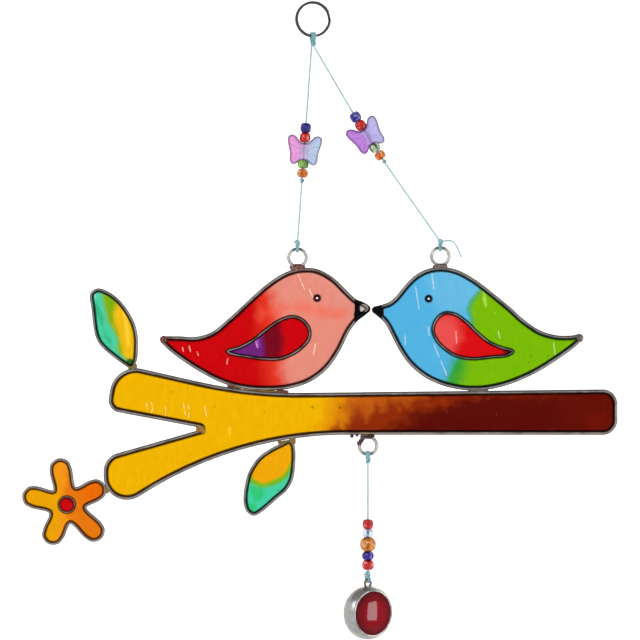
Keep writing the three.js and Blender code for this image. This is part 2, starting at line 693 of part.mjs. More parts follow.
// A cord along a route, as an eight-sided tube.
function tube(route, steps) {
  const section = new THREE.Shape(circle(new THREE.Vector2(), CORD / 2, CORD_SIDES));
  return new THREE.ExtrudeGeometry(section, { steps, extrudePath: route });
}

// A turned bead with a bore for the cord, its axis upright and its middle at the origin.
function turnedBead(outside, length) {
  const bore = CORD / 2 + BORE_CLEARANCE;
  const shoulder = bore + (outside / 2 - bore) * BEAD_SHOULDER;
  const belly = (length / 2) * BEAD_BELLY;
  const profile = [
    [bore, -length / 2],
    [shoulder, -length / 2],
    [outside / 2, -belly],
    [outside / 2, belly],
    [shoulder, length / 2],
    [bore, length / 2],
    [bore, -length / 2],
  ];
  const points = profile.map(([radius, height]) => new THREE.Vector2(radius, height));
  return new THREE.LatheGeometry(points, BEAD_SEGMENTS).rotateX(Math.PI / 2);
}

// A butterfly bead with a bore along its body.
function butterflyBead() {
  const left = BUTTERFLY_HALF.slice(1, -1).map(([x, up]) => [-x, up]);
  const points = [...BUTTERFLY_HALF, ...left.reverse()];
  const outline = points.map(([x, up]) => new THREE.Vector2(x, up).multiplyScalar(BUTTERFLY_SPAN)).reverse();
  const wings = new THREE.ExtrudeGeometry(new THREE.Shape(outline), {
    depth: BUTTERFLY_THICKNESS - 2 * BUTTERFLY_BEVEL,
    bevelThickness: BUTTERFLY_BEVEL,
    bevelSize: BUTTERFLY_BEVEL,
    bevelOffset: -BUTTERFLY_BEVEL,
    bevelSegments: 1,
  });
  wings.translate(0, 0, BUTTERFLY_BEVEL - BUTTERFLY_THICKNESS / 2).rotateX(Math.PI / 2);
  const boreRadius = CORD / 2 + BORE_CLEARANCE;
  const bore = new THREE.CylinderGeometry(boreRadius, boreRadius, BUTTERFLY_SPAN, CORD_SIDES);
  return geometryOf(solidOf(wings).subtract(solidOf(bore.rotateX(Math.PI / 2))));
}

const butterflyBody = BUTTERFLY_SPAN * (BUTTERFLY_HALF[0][1] - BUTTERFLY_HALF.at(-1)[1]);

// The beads of a string, lowest first: [name, geometry, length along the cord, colour].
const STRING_BEADS = [
  ["orange", () => turnedBead(BEAD_OUTSIDE, BEAD_LENGTH), BEAD_LENGTH, 0xe8862e],
  ["green", () => turnedBead(BEAD_OUTSIDE, FLAT_BEAD_LENGTH), FLAT_BEAD_LENGTH, 0x6eaf46],
  ["butterfly", butterflyBead, butterflyBody, 0xd9a6e2],
  ["red", () => turnedBead(BEAD_OUTSIDE, BEAD_LENGTH), BEAD_LENGTH, 0xd71419],
  ["blue", () => turnedBead(BEAD_OUTSIDE, BEAD_LENGTH), BEAD_LENGTH, 0x3c2daa],
];
const DROP_BEADS = [
  ["lower_red", () => turnedBead(DISC_BEAD_OUTSIDE, BEAD_LENGTH), BEAD_LENGTH, 0xd71419],
  ["blue", () => turnedBead(DISC_BEAD_OUTSIDE, FLAT_BEAD_LENGTH), FLAT_BEAD_LENGTH, 0x3c2daa],
  ["amber", () => turnedBead(AMBER_BEAD_OUTSIDE, AMBER_BEAD_LENGTH), AMBER_BEAD_LENGTH, 0xe19632],
  ["clear", () => turnedBead(BEAD_OUTSIDE, CLEAR_BEAD_LENGTH), CLEAR_BEAD_LENGTH, 0xc8d6ee],
  ["upper_red", () => turnedBead(BEAD_OUTSIDE, BEAD_LENGTH), BEAD_LENGTH, 0xd71419],
];

// Threads beads on a cord upwards from a distance along it, each resting on the one below.
function thread(beads, prefix, route, fromTop) {
  const total = route.getLength();
  let distance = fromTop;
  beads.forEach(([name, make, length, colour]) => {
    distance -= SEAT_CLEARANCE + length / 2;
    const share = distance / total;
    const bead = add(`${prefix}_${name}_bead`, make(), resin(colour));
    bead.position.copy(route.getPointAt(share));
    bead.quaternion.setFromUnitVectors(UP_3D, route.getTangentAt(share).negate());
    distance -= length / 2;
  });
}

// Hanging cords
const ringBottom = ringCentre.clone().addScaledVector(UP_3D, -(RING_OUTSIDE - RING_ACROSS) / 2);
const ringBundle = Math.hypot(RING_ACROSS, 2 * RING_DEEP + SEAT_CLEARANCE);
const ringKnot = buildKnot("knot_ring", ringBottom, ringBundle, -1, RING_YAW);

// The loose end of the right cord curls over to the side of its knot.
function knotTail(centre) {
  const placed = TAIL_SHAPE.map(([x, up]) => new THREE.Vector3(x, 0, up).multiplyScalar(KNOT_TAIL));
  const points = placed.map((point) => point.add(centre));
  return tube(new THREE.CatmullRomCurve3(points), TAIL_STEPS);
}

function buildHangingCord(side, loopTop, steps, sag, tailed) {
  const name = side < 0 ? "left" : "right";
  const centre = knotCentre(loopTop, LOOP_WIRE, 1);
  const extras = tailed ? [knotTail(centre)] : [];
  buildKnot(`knot_${name}_loop`, loopTop, LOOP_WIRE, 1, 0, extras);
  const top = ringKnot.clone();
  top.x += (side * CORD_SPREAD) / 2;
  top.z -= KNOT_HEIGHT / 2 + CORD_CLEARANCE;
  const towardsTop = top.clone().sub(centre).normalize();
  const bottom = centre.clone().addScaledVector(towardsTop, KNOT_HEIGHT / 2 + CORD_CLEARANCE);
  const stopperShare = STRING_TO_STOPPER / top.distanceTo(bottom);
  const middle = top.clone().lerp(bottom, stopperShare * SAG_SHARE);
  middle.x -= towardsTop.z * sag;
  middle.z += towardsTop.x * sag;
  const route = new THREE.CatmullRomCurve3([top, middle, bottom]);
  add(`cord_${name}`, tube(route, steps), CORD_COLOUR);
  const share = STRING_TO_STOPPER / route.getLength();
  const stopper = add(`knot_${name}_beads`, turnedBead(STOPPER_OUTSIDE, STOPPER_LENGTH), KNOT_COLOUR);
  stopper.position.copy(route.getPointAt(share));
  stopper.quaternion.setFromUnitVectors(UP_3D, route.getTangentAt(share).negate());
  thread(STRING_BEADS, name, route, STRING_TO_STOPPER - STOPPER_LENGTH / 2);
}

buildHangingCord(-1, birdLoopTops[0], CORD_STEPS, 0, false);
buildHangingCord(1, birdLoopTops[1], RIGHT_CORD_STEPS, RIGHT_CORD_SAG, true);

// Drop
function buildDrop() {
  const topKnot = buildKnot("knot_drop_top", branchLoopBottom, LOOP_WIRE, -1);
  const bottomKnot = topKnot.clone().addScaledVector(UP_3D, -DROP_CORD);
  const loopTop = bottomKnot.clone().addScaledVector(
    UP_3D,
    -(wrapRadius(DROP_LOOP_WIRE) + KNOT_HEIGHT / 2 - CORD / 2),
  );
  buildKnot("knot_drop_bottom", loopTop, DROP_LOOP_WIRE, 1, DROP_YAW);
  const reach = KNOT_HEIGHT / 2 + CORD_CLEARANCE;
  const start = topKnot.clone().addScaledVector(UP_3D, -reach);
  const end = bottomKnot.clone().addScaledVector(UP_3D, reach);
  const route = new THREE.LineCurve3(start, end);
  add("cord_drop", tube(route, DROP_CORD_STEPS), CORD_COLOUR);
  thread(DROP_BEADS, "drop", route, route.getLength());

  const edge = BEZEL_EDGE / 2;
  const half = BEZEL_DEPTH / 2;
  const bulge = (BEZEL_OUTSIDE - BEZEL_EDGE) / 2;
  const outer = BAND_PROFILE.map((share) => [edge + bulge * (1 - share ** 2), share * half]);
  const inner = [[edge - BEZEL_WALL, half], [edge - BEZEL_WALL, -half]];
  const loopRadius = (DROP_LOOP_OUTSIDE - DROP_LOOP_WIRE) / 2;
  const loopCentre = loopTop.clone().addScaledVector(UP_3D, -loopRadius);
  const bezelTop = loopCentre.z - DROP_LOOP_OUTSIDE / 2 + DROP_LOOP_SINK;
  const centre = new THREE.Vector3(loopTop.x, 0, bezelTop - BEZEL_OUTSIDE / 2);
  const lathed = (profile) => {
    const points = profile.map(([radius, depth]) => new THREE.Vector2(radius, depth));
    return new THREE.LatheGeometry(points, BEZEL_SEGMENTS);
  };
  const placed = (name, geometry, look, at) => {
    const mesh = add(name, geometry, look);
    mesh.position.copy(at);
    mesh.rotation.z = THREE.MathUtils.degToRad(DROP_YAW);
  };
  placed("drop_bezel", lathed([...outer, ...inner, outer[0]]), PEWTER, centre);

  const seat = edge - BEZEL_WALL - SEAT_CLEARANCE;
  const dome = DOME_PROFILE.map((share) => [seat * share, half + CABOCHON_DOME * (1 - share ** 2)]);
  const lens = [...dome.map(([radius, depth]) => [radius, -depth]), ...dome.reverse()];
  placed("drop_resin", lathed(lens), resin(0x8c0a14), centre);

  const swollen = outer.map(([radius, depth]) => [radius + SEAT_CLEARANCE, depth * KEEP_OFF_SCALE]);
  const band = lathed([[0, swollen[0][1]], ...swollen, [0, swollen.at(-1)[1]]]);
  band.translate(0, 0, centre.z - loopCentre.z);
  const loop = new THREE.TorusGeometry(loopRadius, DROP_LOOP_WIRE / 2, WIRE_SIDES, LOOP_SEGMENTS);
  const letIn = solidOf(loop.rotateX(Math.PI / 2)).subtract(solidOf(band));
  placed("drop_loop", geometryOf(letIn), PEWTER, loopCentre);
}

buildDrop();

export default suncatcher;
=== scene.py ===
"""A resin suncatcher with two birds on a forked branch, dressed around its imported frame.

Sizes are millimetres and become metres when a mesh is made. x runs to the right, z up, and the front
faces -y. A flat outline is a list of (along, up), in thousandths of its own length, and is seated on the box
of its node.
"""

import logging
import math
from collections.abc import Callable, Sequence
from dataclasses import dataclass, field, replace
from enum import Enum

import bpy
import numpy as np
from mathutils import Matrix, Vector
from mathutils.geometry import delaunay_2d_cdt
from numpy.typing import NDArray


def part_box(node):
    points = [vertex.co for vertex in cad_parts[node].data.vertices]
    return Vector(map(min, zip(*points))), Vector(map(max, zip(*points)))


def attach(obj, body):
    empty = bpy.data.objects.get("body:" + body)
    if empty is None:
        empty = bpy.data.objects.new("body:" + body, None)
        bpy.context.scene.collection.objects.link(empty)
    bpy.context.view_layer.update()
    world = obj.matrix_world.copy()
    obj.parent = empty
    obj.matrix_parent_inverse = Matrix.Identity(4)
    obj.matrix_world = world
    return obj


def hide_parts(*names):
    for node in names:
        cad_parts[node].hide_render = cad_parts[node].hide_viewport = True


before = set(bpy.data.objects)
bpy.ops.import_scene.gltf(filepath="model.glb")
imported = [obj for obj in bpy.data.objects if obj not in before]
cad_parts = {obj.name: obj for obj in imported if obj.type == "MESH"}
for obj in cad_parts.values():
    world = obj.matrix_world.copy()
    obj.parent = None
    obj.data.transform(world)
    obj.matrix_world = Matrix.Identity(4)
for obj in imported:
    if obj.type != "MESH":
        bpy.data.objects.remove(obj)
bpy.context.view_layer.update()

Array = NDArray[np.float64]
Spot = tuple[float, float]
Colour = tuple[float, float, float, float]
Weld = tuple[Spot, tuple[float, float, float]]
Socket = bpy.types.NodeSocket

MM = 0.001
TINY = 1e-12  # keeps a division away from nothing

# Lines
FEWEST = 9  # fewest points of a line
BETWEEN = 24  # points of a smooth line from one given point to the next
ARC_POINTS = 40  # points of a bend
BLOCK = 1000  # points measured against a line at a time
OFFSET_SLACK = 0.03  # how much nearer than asked a moved point may lie
WAVES = 6  # sine waves in an uneven surface
SHORTEST = 2.6  # how much shorter than the longest wave the shortest may be

# Solder
LUMP_GRID = (16, 24)  # rows from pole to pole, and points around
LUMP_SQUARE = 0.85  # below 1, its sides are squarer than an ellipsoid's
LUMP_WAVE = 2.4  # its longest wave, in halves of its size
LUMP_FLANK = 0.35  # how far its colour goes toward the painted flank shade

# Resin
EDGE_ROWS = (0.14, 0.32, 0.55, 0.85, 1.25)  # depths of the rows of points that follow an edge
EDGE_CLEAR = 0.1  # nearest that a free point lies to an edge
EDGE_STEP = 0.4  # distance between two points of an edge
EDGE_BITE = 0.35  # how far resin goes into a wire, in the wire's radii
MEET = 0.9  # height at which resin meets a wire, in the wire's radii
BEND = (0.5, 0.35)  # where resin begins to level out from a wire, and how fast, in the wire's radii
SWELL = (0.05, 16.0)  # height of its slow waves, as a share of its level, and their length
RIPPLE_GRID = (0.22, 13, 2.4)  # step along a ripple, rows beside it, and their reach in its widths

# Wires
WIRE_SECTION = 18  # points around a wire
WIRE_WAVES = ((0.03, 16.0), (0.012, 3.0))  # heights, as shares of the radius, and lengths
WELD_HEAT = (0.85, 2.6)  # how brown a wire is at a weld, and how far away it falls to a third
CORD_SHADE_REACH = 2.7  # how far from a cord the painted shade on a wire reaches

# Cords
STRANDS = 3
STRAND_OUT, STRAND_SIZE = 0.24, 0.26  # a strand's distance from the middle, and its radius, in diameters
log = logging.getLogger("suncatcher")


# ---- Lines in the plane of the birds


def around(count: int) -> Array:
    """Angles at equal steps round a full turn."""
    return np.linspace(0.0, 2 * math.pi, count, endpoint=False)


def even(line: Array, step: float, closed: bool = True) -> Array:
    """Points at equal steps along a line, found by reading each coordinate at equal lengths of arc.

    Args:
        line: points of the line.
        step: wanted distance between two points.
        closed: whether the line returns to its start.

    Returns:
        The new points.
    """
    path = np.vstack([line, line[:1]]) if closed else line
    run = np.concatenate([[0.0], np.cumsum(np.linalg.norm(np.diff(path, axis=0), axis=1))])
    at = np.linspace(0.0, run[-1], max(FEWEST, math.ceil(run[-1] / step) + 1))
    at = at[:-1] if closed else at
    return np.column_stack([np.interp(at, run, column) for column in path.T])


def cubic(points: Array, pieces: int) -> Array:
    """Centripetal Catmull-Rom: each stretch is a cubic whose end slopes weigh the neighbouring points.

    Args:
        points: the points, with one more at each end that the line doesn't reach.
        pieces: points a stretch.

    Returns:
        Points of every stretch in turn.
    """
    before, here, after, beyond = points[:-3], points[1:-2], points[2:-1], points[3:]
    gaps = np.sqrt(np.linalg.norm(np.diff(points, axis=0), axis=1))[:, None]
    first, second, third = gaps[:-2], gaps[1:-1], gaps[2:]
    leave = (here - before) / first - (after - before) / (first + second) + (after - here) / second
    arrive = (after - here) / second - (beyond - here) / (second + third) + (beyond - after) / third
    t = np.linspace(0.0, 1.0, pieces, endpoint=False)[None, :, None]
    here, after, leave, arrive = (a[:, None] for a in (here, after, leave * second, arrive * second))
    line = (2 * t**3 - 3 * t**2 + 1) * here + (t**3 - 2 * t**2 + t) * leave
    line = line + (3 * t**2 - 2 * t**3) * after + (t**3 - t**2) * arrive
    return line.reshape(-1, points.shape[1])


def closed_curve(points: Sequence[Sequence[float]] | Array, step: float) -> Array:
    """A smooth closed line through points, counter-clockwise, at equal steps."""
    given = np.asarray(points, float)
    line = cubic(np.vstack([given[-1:], given, given[:2]]), BETWEEN)
    line = line if area(line) > 0 else line[::-1]
    return even(line, step)


def open_curve(points: Array, step: float) -> Array:
    """A smooth line from the first point to the last, at equal steps."""
    ends = 2 * points[:1] - points[1:2], 2 * points[-1:] - points[-2:-1]
    line = np.vstack([cubic(np.vstack([ends[0], points, ends[1]]), BETWEEN), points[-1:]])
    return even(line, step, closed=False)


def bent_line(corners: Array, size: float, step: float) -> Array:
    """Straight runs joined by arcs: an arc's centre lies on the bisector, at radius / sin(half the angle).

    Args:
        corners: (along, up, radius) of each corner, as shares of the size.
        size: the length that the shares are of.
        step: distance between two points of the result.

    Returns:
        The closed line, counter-clockwise.
    """
    places = corners[:, :2] * size
    pieces = []
    for index, corner in enumerate(corners):
        point, radius = places[index], corner[2] * size
        back = places[index - 1] - point
        on = places[(index + 1) % len(corners)] - point
        back, on = back / np.linalg.norm(back), on / np.linalg.norm(on)
        half = math.acos(float(back @ on)) / 2
        bisector = (back + on) / np.linalg.norm(back + on)
        centre = point + bisector * radius / math.sin(half)
        spokes = np.array([back, on]) * radius / math.tan(half) + point - centre
        angles = np.arctan2(spokes[:, 1], spokes[:, 0])
        turn = (angles[1] - angles[0] + math.pi) % (2 * math.pi) - math.pi
        sweep = angles[0] + turn * np.linspace(0.0, 1.0, ARC_POINTS)
        pieces.append(centre + radius * np.column_stack([np.cos(sweep), np.sin(sweep)]))
    line = np.vstack(pieces)
    line = line if area(line) > 0 else line[::-1]
    return even(line, step)


def area(line: Array) -> float:
    """Area inside a closed line, negative where it runs clockwise."""
    after = np.roll(line, -1, 0)
    return float((line[:, 0] * after[:, 1] - line[:, 1] * after[:, 0]).sum() / 2)


def circle(centre: Sequence[float], radius: float, count: int) -> Array:
    """Points of a circle, counter-clockwise."""
    angle = around(count)
    return np.asarray(centre) + radius * np.column_stack([np.cos(angle), np.sin(angle)])


def in_blocks(work: Callable[[Array], Array], points: Array) -> Array:
    """Runs work on a block of points at a time, which keeps the tables of pairs small."""
    return np.concatenate([work(points[first:first + BLOCK]) for first in range(0, len(points), BLOCK)])


def distance_to(points: Array, line: Array, closed: bool = True) -> Array:
    """Distance of points from a line: the least over its stretches of the distance to the nearest foot."""
    start = line if closed else line[:-1]
    run = (np.roll(line, -1, 0) if closed else line[1:])[: len(start)] - start
    size = np.maximum((run**2).sum(-1), TINY)

    def work(block: Array) -> Array:
        """Distances of one block of points."""
        away = block[:, None] - start
        share = np.clip((away * run).sum(-1) / size, 0.0, 1.0)
        return np.linalg.norm(away - share[..., None] * run, axis=-1).min(1)

    return in_blocks(work, points)


def inside(points: Array, line: Array) -> NDArray[np.bool_]:
    """Whether points lie inside a closed line: a ray to the right crosses it an odd number of times."""
    start, end = line, np.roll(line, -1, 0)
    rise = np.where(start[:, 1] == end[:, 1], TINY, end[:, 1] - start[:, 1])

    def work(block: Array) -> Array:
        """Tests one block of points."""
        x, z = block[:, :1], block[:, 1:]
        passes = (start[:, 1] <= z) != (end[:, 1] <= z)
        reach = start[:, 0] + (z - start[:, 1]) / rise * (end[:, 0] - start[:, 0])
        return (passes & (x < reach)).sum(1) % 2 == 1

    return in_blocks(work, points)


def offset(line: Array, distance: float) -> Array:
    """A closed line moved sideways, inwards for a distance above 0, with its crossed corners cut off."""
    along = np.roll(line, -1, 0) - np.roll(line, 1, 0)
    along = along / np.linalg.norm(along, axis=1)[:, None]
    moved = line + distance * np.column_stack([-along[:, 1], along[:, 0]])
    return moved[distance_to(moved, line) > abs(distance) - OFFSET_SLACK]


def near(points: Array, place: Array, reach: float) -> Array:
    """A share that is 1 at a place and falls away from it: exp(-(distance / reach)^2)."""
    return np.exp(-((np.linalg.norm(points - place, axis=1) / reach) ** 2))


def waves(points: Array, seed: int, size: float) -> Array:
    """A smooth uneven height between -1 and 1: the mean of sine waves in seeded directions.

    Args:
        points: places with any number of coordinates.
        seed: picks the directions and phases.
        size: length of the longest wave.

    Returns:
        One height a point.
    """
    dice = np.random.default_rng(seed)
    directions = dice.normal(size=(WAVES, points.shape[1]))
    directions = directions / np.linalg.norm(directions, axis=1)[:, None]
    directions = directions * (2 * math.pi / size) * dice.uniform(1.0, SHORTEST, (WAVES, 1))
    return np.sin(points @ directions.T + dice.uniform(0, 2 * math.pi, WAVES)).mean(1)


# ---- Skins


@dataclass
class Skin:
    """A surface in the making."""

    points: Array  # places in millimetres
    faces: NDArray[np.int64]  # triangles
    # one number a point for each named mark, which a finish reads
    marks: dict[str, Array] = field(default_factory=dict)

    def __post_init__(self) -> None:
        """Turns a closed skin right side out, which its signed volume tells."""
        a, b, c = (self.points[self.faces[:, k]] for k in range(3))
        if (a * np.cross(b, c)).sum() < 0:
            self.faces = self.faces[:, ::-1]

    def with_mark(self, name: str, values: Array | float) -> "Skin":
        """Adds a mark, one number a point or the same for all."""
        self.marks[name] = np.broadcast_to(np.asarray(values, float), len(self.points)).copy()
        return self

    def moved(self, shift: Sequence[float]) -> "Skin":
        """The skin at another place."""
        self.points = self.points + np.asarray(shift, float)
        return self

    def turned(self, axis: int, degrees: float) -> "Skin":
        """The skin turned about an axis through the origin, right-handed."""
        one, two = [(1, 2), (2, 0), (0, 1)][axis]
        c, s = math.cos(math.radians(degrees)), math.sin(math.radians(degrees))
        old = self.points.copy()
        self.points[:, one] = c * old[:, one] - s * old[:, two]
        self.points[:, two] = s * old[:, one] + c * old[:, two]
        return self


def joined(skins: Sequence[Skin]) -> Skin:
    """Several closed skins as one, with a mark of 0 where a skin has none of that name."""
    starts = np.cumsum([0] + [len(skin.points) for skin in skins[:-1]])
    faces = np.vstack([skin.faces + start for skin, start in zip(skins, starts)])
    whole = Skin(np.vstack([skin.points for skin in skins]), faces)
    for name in sorted({name for skin in skins for name in skin.marks}):
        parts = [skin.marks.get(name, np.zeros(len(skin.points))) for skin in skins]
        whole.marks[name] = np.concatenate(parts)
    return whole


def skin_of_rings(grid: Array, loop: bool) -> Skin:
    """The skin of a grid whose rows are closed rings.

    Args:
        grid: rings x points x 3.
        loop: whether the last ring joins the first; otherwise each end is closed by its middle point.

    Returns:
        The closed skin, with the grid's points first, ring by ring.
    """
    rows, columns = grid.shape[:2]
    index = np.arange(rows * columns).reshape(rows, columns)
    here = index if loop else index[:-1]
    there = np.roll(index, -1, 0) if loop else index[1:]
    a, b, c, d = here, np.roll(here, -1, 1), there, np.roll(there, -1, 1)
    faces = [np.stack([a, b, d], -1).reshape(-1, 3), np.stack([a, d, c], -1).reshape(-1, 3)]
    points = grid.reshape(-1, 3)
    if not loop:
        points = np.vstack([points, grid[0].mean(0), grid[-1].mean(0)])
        low, high = index[0], index[-1]
        faces.append(np.column_stack([np.roll(low, -1), low, np.full(columns, rows * columns)]))
        faces.append(np.column_stack([high, np.roll(high, -1), np.full(columns, rows * columns + 1)]))
    return Skin(points, np.vstack(faces))


def tube(path: Array, radius: Array, angles: Array, side: Array, closed: bool) -> Skin:
    """A section carried along a path: place = path + radius * (cos(angle) * side + sin(angle) * front).

    Args:
        path: the centreline, points x 3.
        radius: stations x angles, the section's radius.
        angles: the section's angles.
        side: the direction of angle 0 at each station; front completes it with the path's direction.
        closed: whether the path is a loop.

    Returns:
        The tube's skin.
    """
    ahead = np.roll(path, -1, 0) - np.roll(path, 1, 0) if closed else np.gradient(path, axis=0)
    ahead = ahead / np.linalg.norm(ahead, axis=1)[:, None]
    side = side - (side * ahead).sum(1)[:, None] * ahead
    side = side / np.linalg.norm(side, axis=1)[:, None]
    front = np.cross(ahead, side)
    across, ahead = side[:, None], front[:, None]
    spokes = np.cos(angles)[None, :, None] * across + np.sin(angles)[None, :, None] * ahead
    return skin_of_rings(path[:, None] + radius[..., None] * spokes, loop=closed)


def turned_skin(profile: Array, count: int, closed: bool, facets: int = 0) -> Skin:
    """A profile of (radius, height) turned about the upright axis.

    Args:
        profile: the profile's points. An open one starts and ends near the axis.
        count: points around.
        closed: whether the profile is a loop, as round a bore.
        facets: number of flat sides, or 0 for a round body. A flat side's radius is the profile's radius
            times cos(half its angle) / cos(angle from its middle).

    Returns:
        The skin, with a mark "turn" from 0 to 1 around.
    """
    angle = around(count)
    squeeze = np.ones(count)
    if facets:
        part = 2 * math.pi / facets
        squeeze = math.cos(part / 2) / np.cos(angle % part - part / 2)
    radius = profile[:, :1] * squeeze
    grid = np.stack([radius * np.cos(angle), radius * np.sin(angle)], -1)
    grid = np.concatenate([grid, np.broadcast_to(profile[:, 1:, None], (*radius.shape, 1))], -1)
    skin = skin_of_rings(grid, loop=closed)
    return skin.with_mark("turn", np.arctan2(skin.points[:, 1], skin.points[:, 0]) / (2 * math.pi) % 1)


def lump(centre: Sequence[float], sizes: Sequence[float], seed: int, rough: float = 0.1) -> Skin:
    """A rounded lump of solder: an ellipsoid with slightly squared sides and uneven waves.

    Args:
        centre: its middle, (x, z).
        sizes: half its size along x, from front to back, and up.
        seed: picks the waves.
        rough: height of the waves as a share of the size.

    Returns:
        The skin, with marks "scorch" of 1, "flank" for a share of painted flank shade, and "coat" of -1 for
        no painted resin shade.
    """
    rows, columns = LUMP_GRID
    tilt = np.linspace(-math.pi / 2, math.pi / 2, rows)[1:-1, None]
    angle = around(columns)[None]
    wide = np.cos(tilt)
    unit = np.stack([wide * np.cos(angle), wide * np.sin(angle), np.sin(tilt) + 0 * angle], -1)
    unit = np.sign(unit) * np.abs(unit) ** LUMP_SQUARE
    bumps = waves(unit.reshape(-1, 3), seed, LUMP_WAVE).reshape(unit.shape[:2])
    grid = unit * np.asarray(sizes) * (1 + rough * bumps[..., None])
    skin = skin_of_rings(grid, loop=False).moved((centre[0], 0.0, centre[1]))
    return skin.with_mark("scorch", 1.0).with_mark("flank", LUMP_FLANK).with_mark("coat", -1.0)


# ---- Flat castings


@dataclass(frozen=True)
class Wire:
    """A closed round wire: its centreline in the plane of the birds, and its thickness."""

    line: Array
    thickness: float

    @property
    def radius(self) -> float:
        """Half the thickness."""
        return self.thickness / 2


@dataclass(frozen=True)
class Ripple:
    """A raised line in the resin's face with a painted glint, or a dark speck in a dent where its height is
    below 0.
    """

    start: Spot  # one end, on the pattern sheet
    end: Spot  # the other end
    height: float = 0.07  # how far it stands out
    width: float = 0.28  # how far from its middle line it falls to a third


def lattice(low: Array, high: Array, step: float) -> Array:
    """Points in rows, with each second row moved by half a step."""
    rise = step * math.sqrt(3) / 2
    x, z = np.meshgrid(np.arange(low[0], high[0], step), np.arange(low[1], high[1], rise))
    x[1::2] += step / 2
    return np.column_stack([x.ravel(), z.ravel()])


def flat_mesh(edges: Sequence[Array], extra: Sequence[Array], step: float) -> tuple[Array, NDArray[np.int64]]:
    """Triangles over the inside of the first edge and the outside of the others.

    Rows of points follow each edge, a lattice fills the rest, and a Delaunay triangulation that keeps the
    edges joins them.

    Args:
        edges: closed lines, the outer one first.
        extra: more points, where the surface has fine detail.
        step: distance between the lattice's points.

    Returns:
        The points and the triangles.
    """
    rows = []
    for index, edge in enumerate(edges):
        inwards = 1 if index == 0 else -1
        rows += [offset(edge, inwards * depth) for depth in EDGE_ROWS]
    free = np.vstack([lattice(edges[0].min(0), edges[0].max(0), step), *rows, *extra])
    free = free[inside(free, edges[0])]
    for hole in edges[1:]:
        free = free[~inside(free, hole)]
    free = free[np.min([distance_to(free, edge) for edge in edges], axis=0) > EDGE_CLEAR]
    starts = np.cumsum([0] + [len(edge) for edge in edges])
    kept = np.vstack([
        np.column_stack([np.arange(len(edge)), np.roll(np.arange(len(edge)), -1)]) + start
        for edge, start in zip(edges, starts)
    ])
    result = delaunay_2d_cdt(np.vstack([*edges, free]).tolist(), kept.tolist(), [], 0, 1e-4, False)
    points, triangles = np.array([tuple(p) for p in result[0]]), np.array(result[2])
    middle = points[triangles].mean(1)
    wanted = inside(middle, edges[0])
    for hole in edges[1:]:
        wanted &= ~inside(middle, hole)
    used, faces = np.unique(triangles[wanted], return_inverse=True)
    return points[used], faces.reshape(-1, 3)


def slab(points: Array, triangles: NDArray[np.int64], front: Array, back: Array) -> Skin:
    """Two faces over the same flat triangles, joined where an edge has a triangle on one side only.

    Args:
        points: flat places, (x, z).
        triangles: the triangles between them.
        front: how far the front face stands before the plane, a number a point.
        back: how far the back face stands behind it.

    Returns:
        The closed skin.
    """
    count = len(points)
    places = np.vstack([
        np.column_stack([points[:, 0], -front, points[:, 1]]),
        np.column_stack([points[:, 0], back, points[:, 1]]),
    ])
    sides = np.vstack([triangles[:, [0, 1]], triangles[:, [1, 2]], triangles[:, [2, 0]]])
    pairs = np.sort(sides, axis=1)
    _, first, seen = np.unique(pairs, axis=0, return_index=True, return_counts=True)
    rim = sides[first[seen == 1]]
    a, b = rim[:, 0], rim[:, 1]
    walls = np.vstack([np.column_stack([b, a, a + count]), np.column_stack([b, a + count, b + count])])
    return Skin(places, np.vstack([triangles, triangles[:, ::-1] + count, walls]))


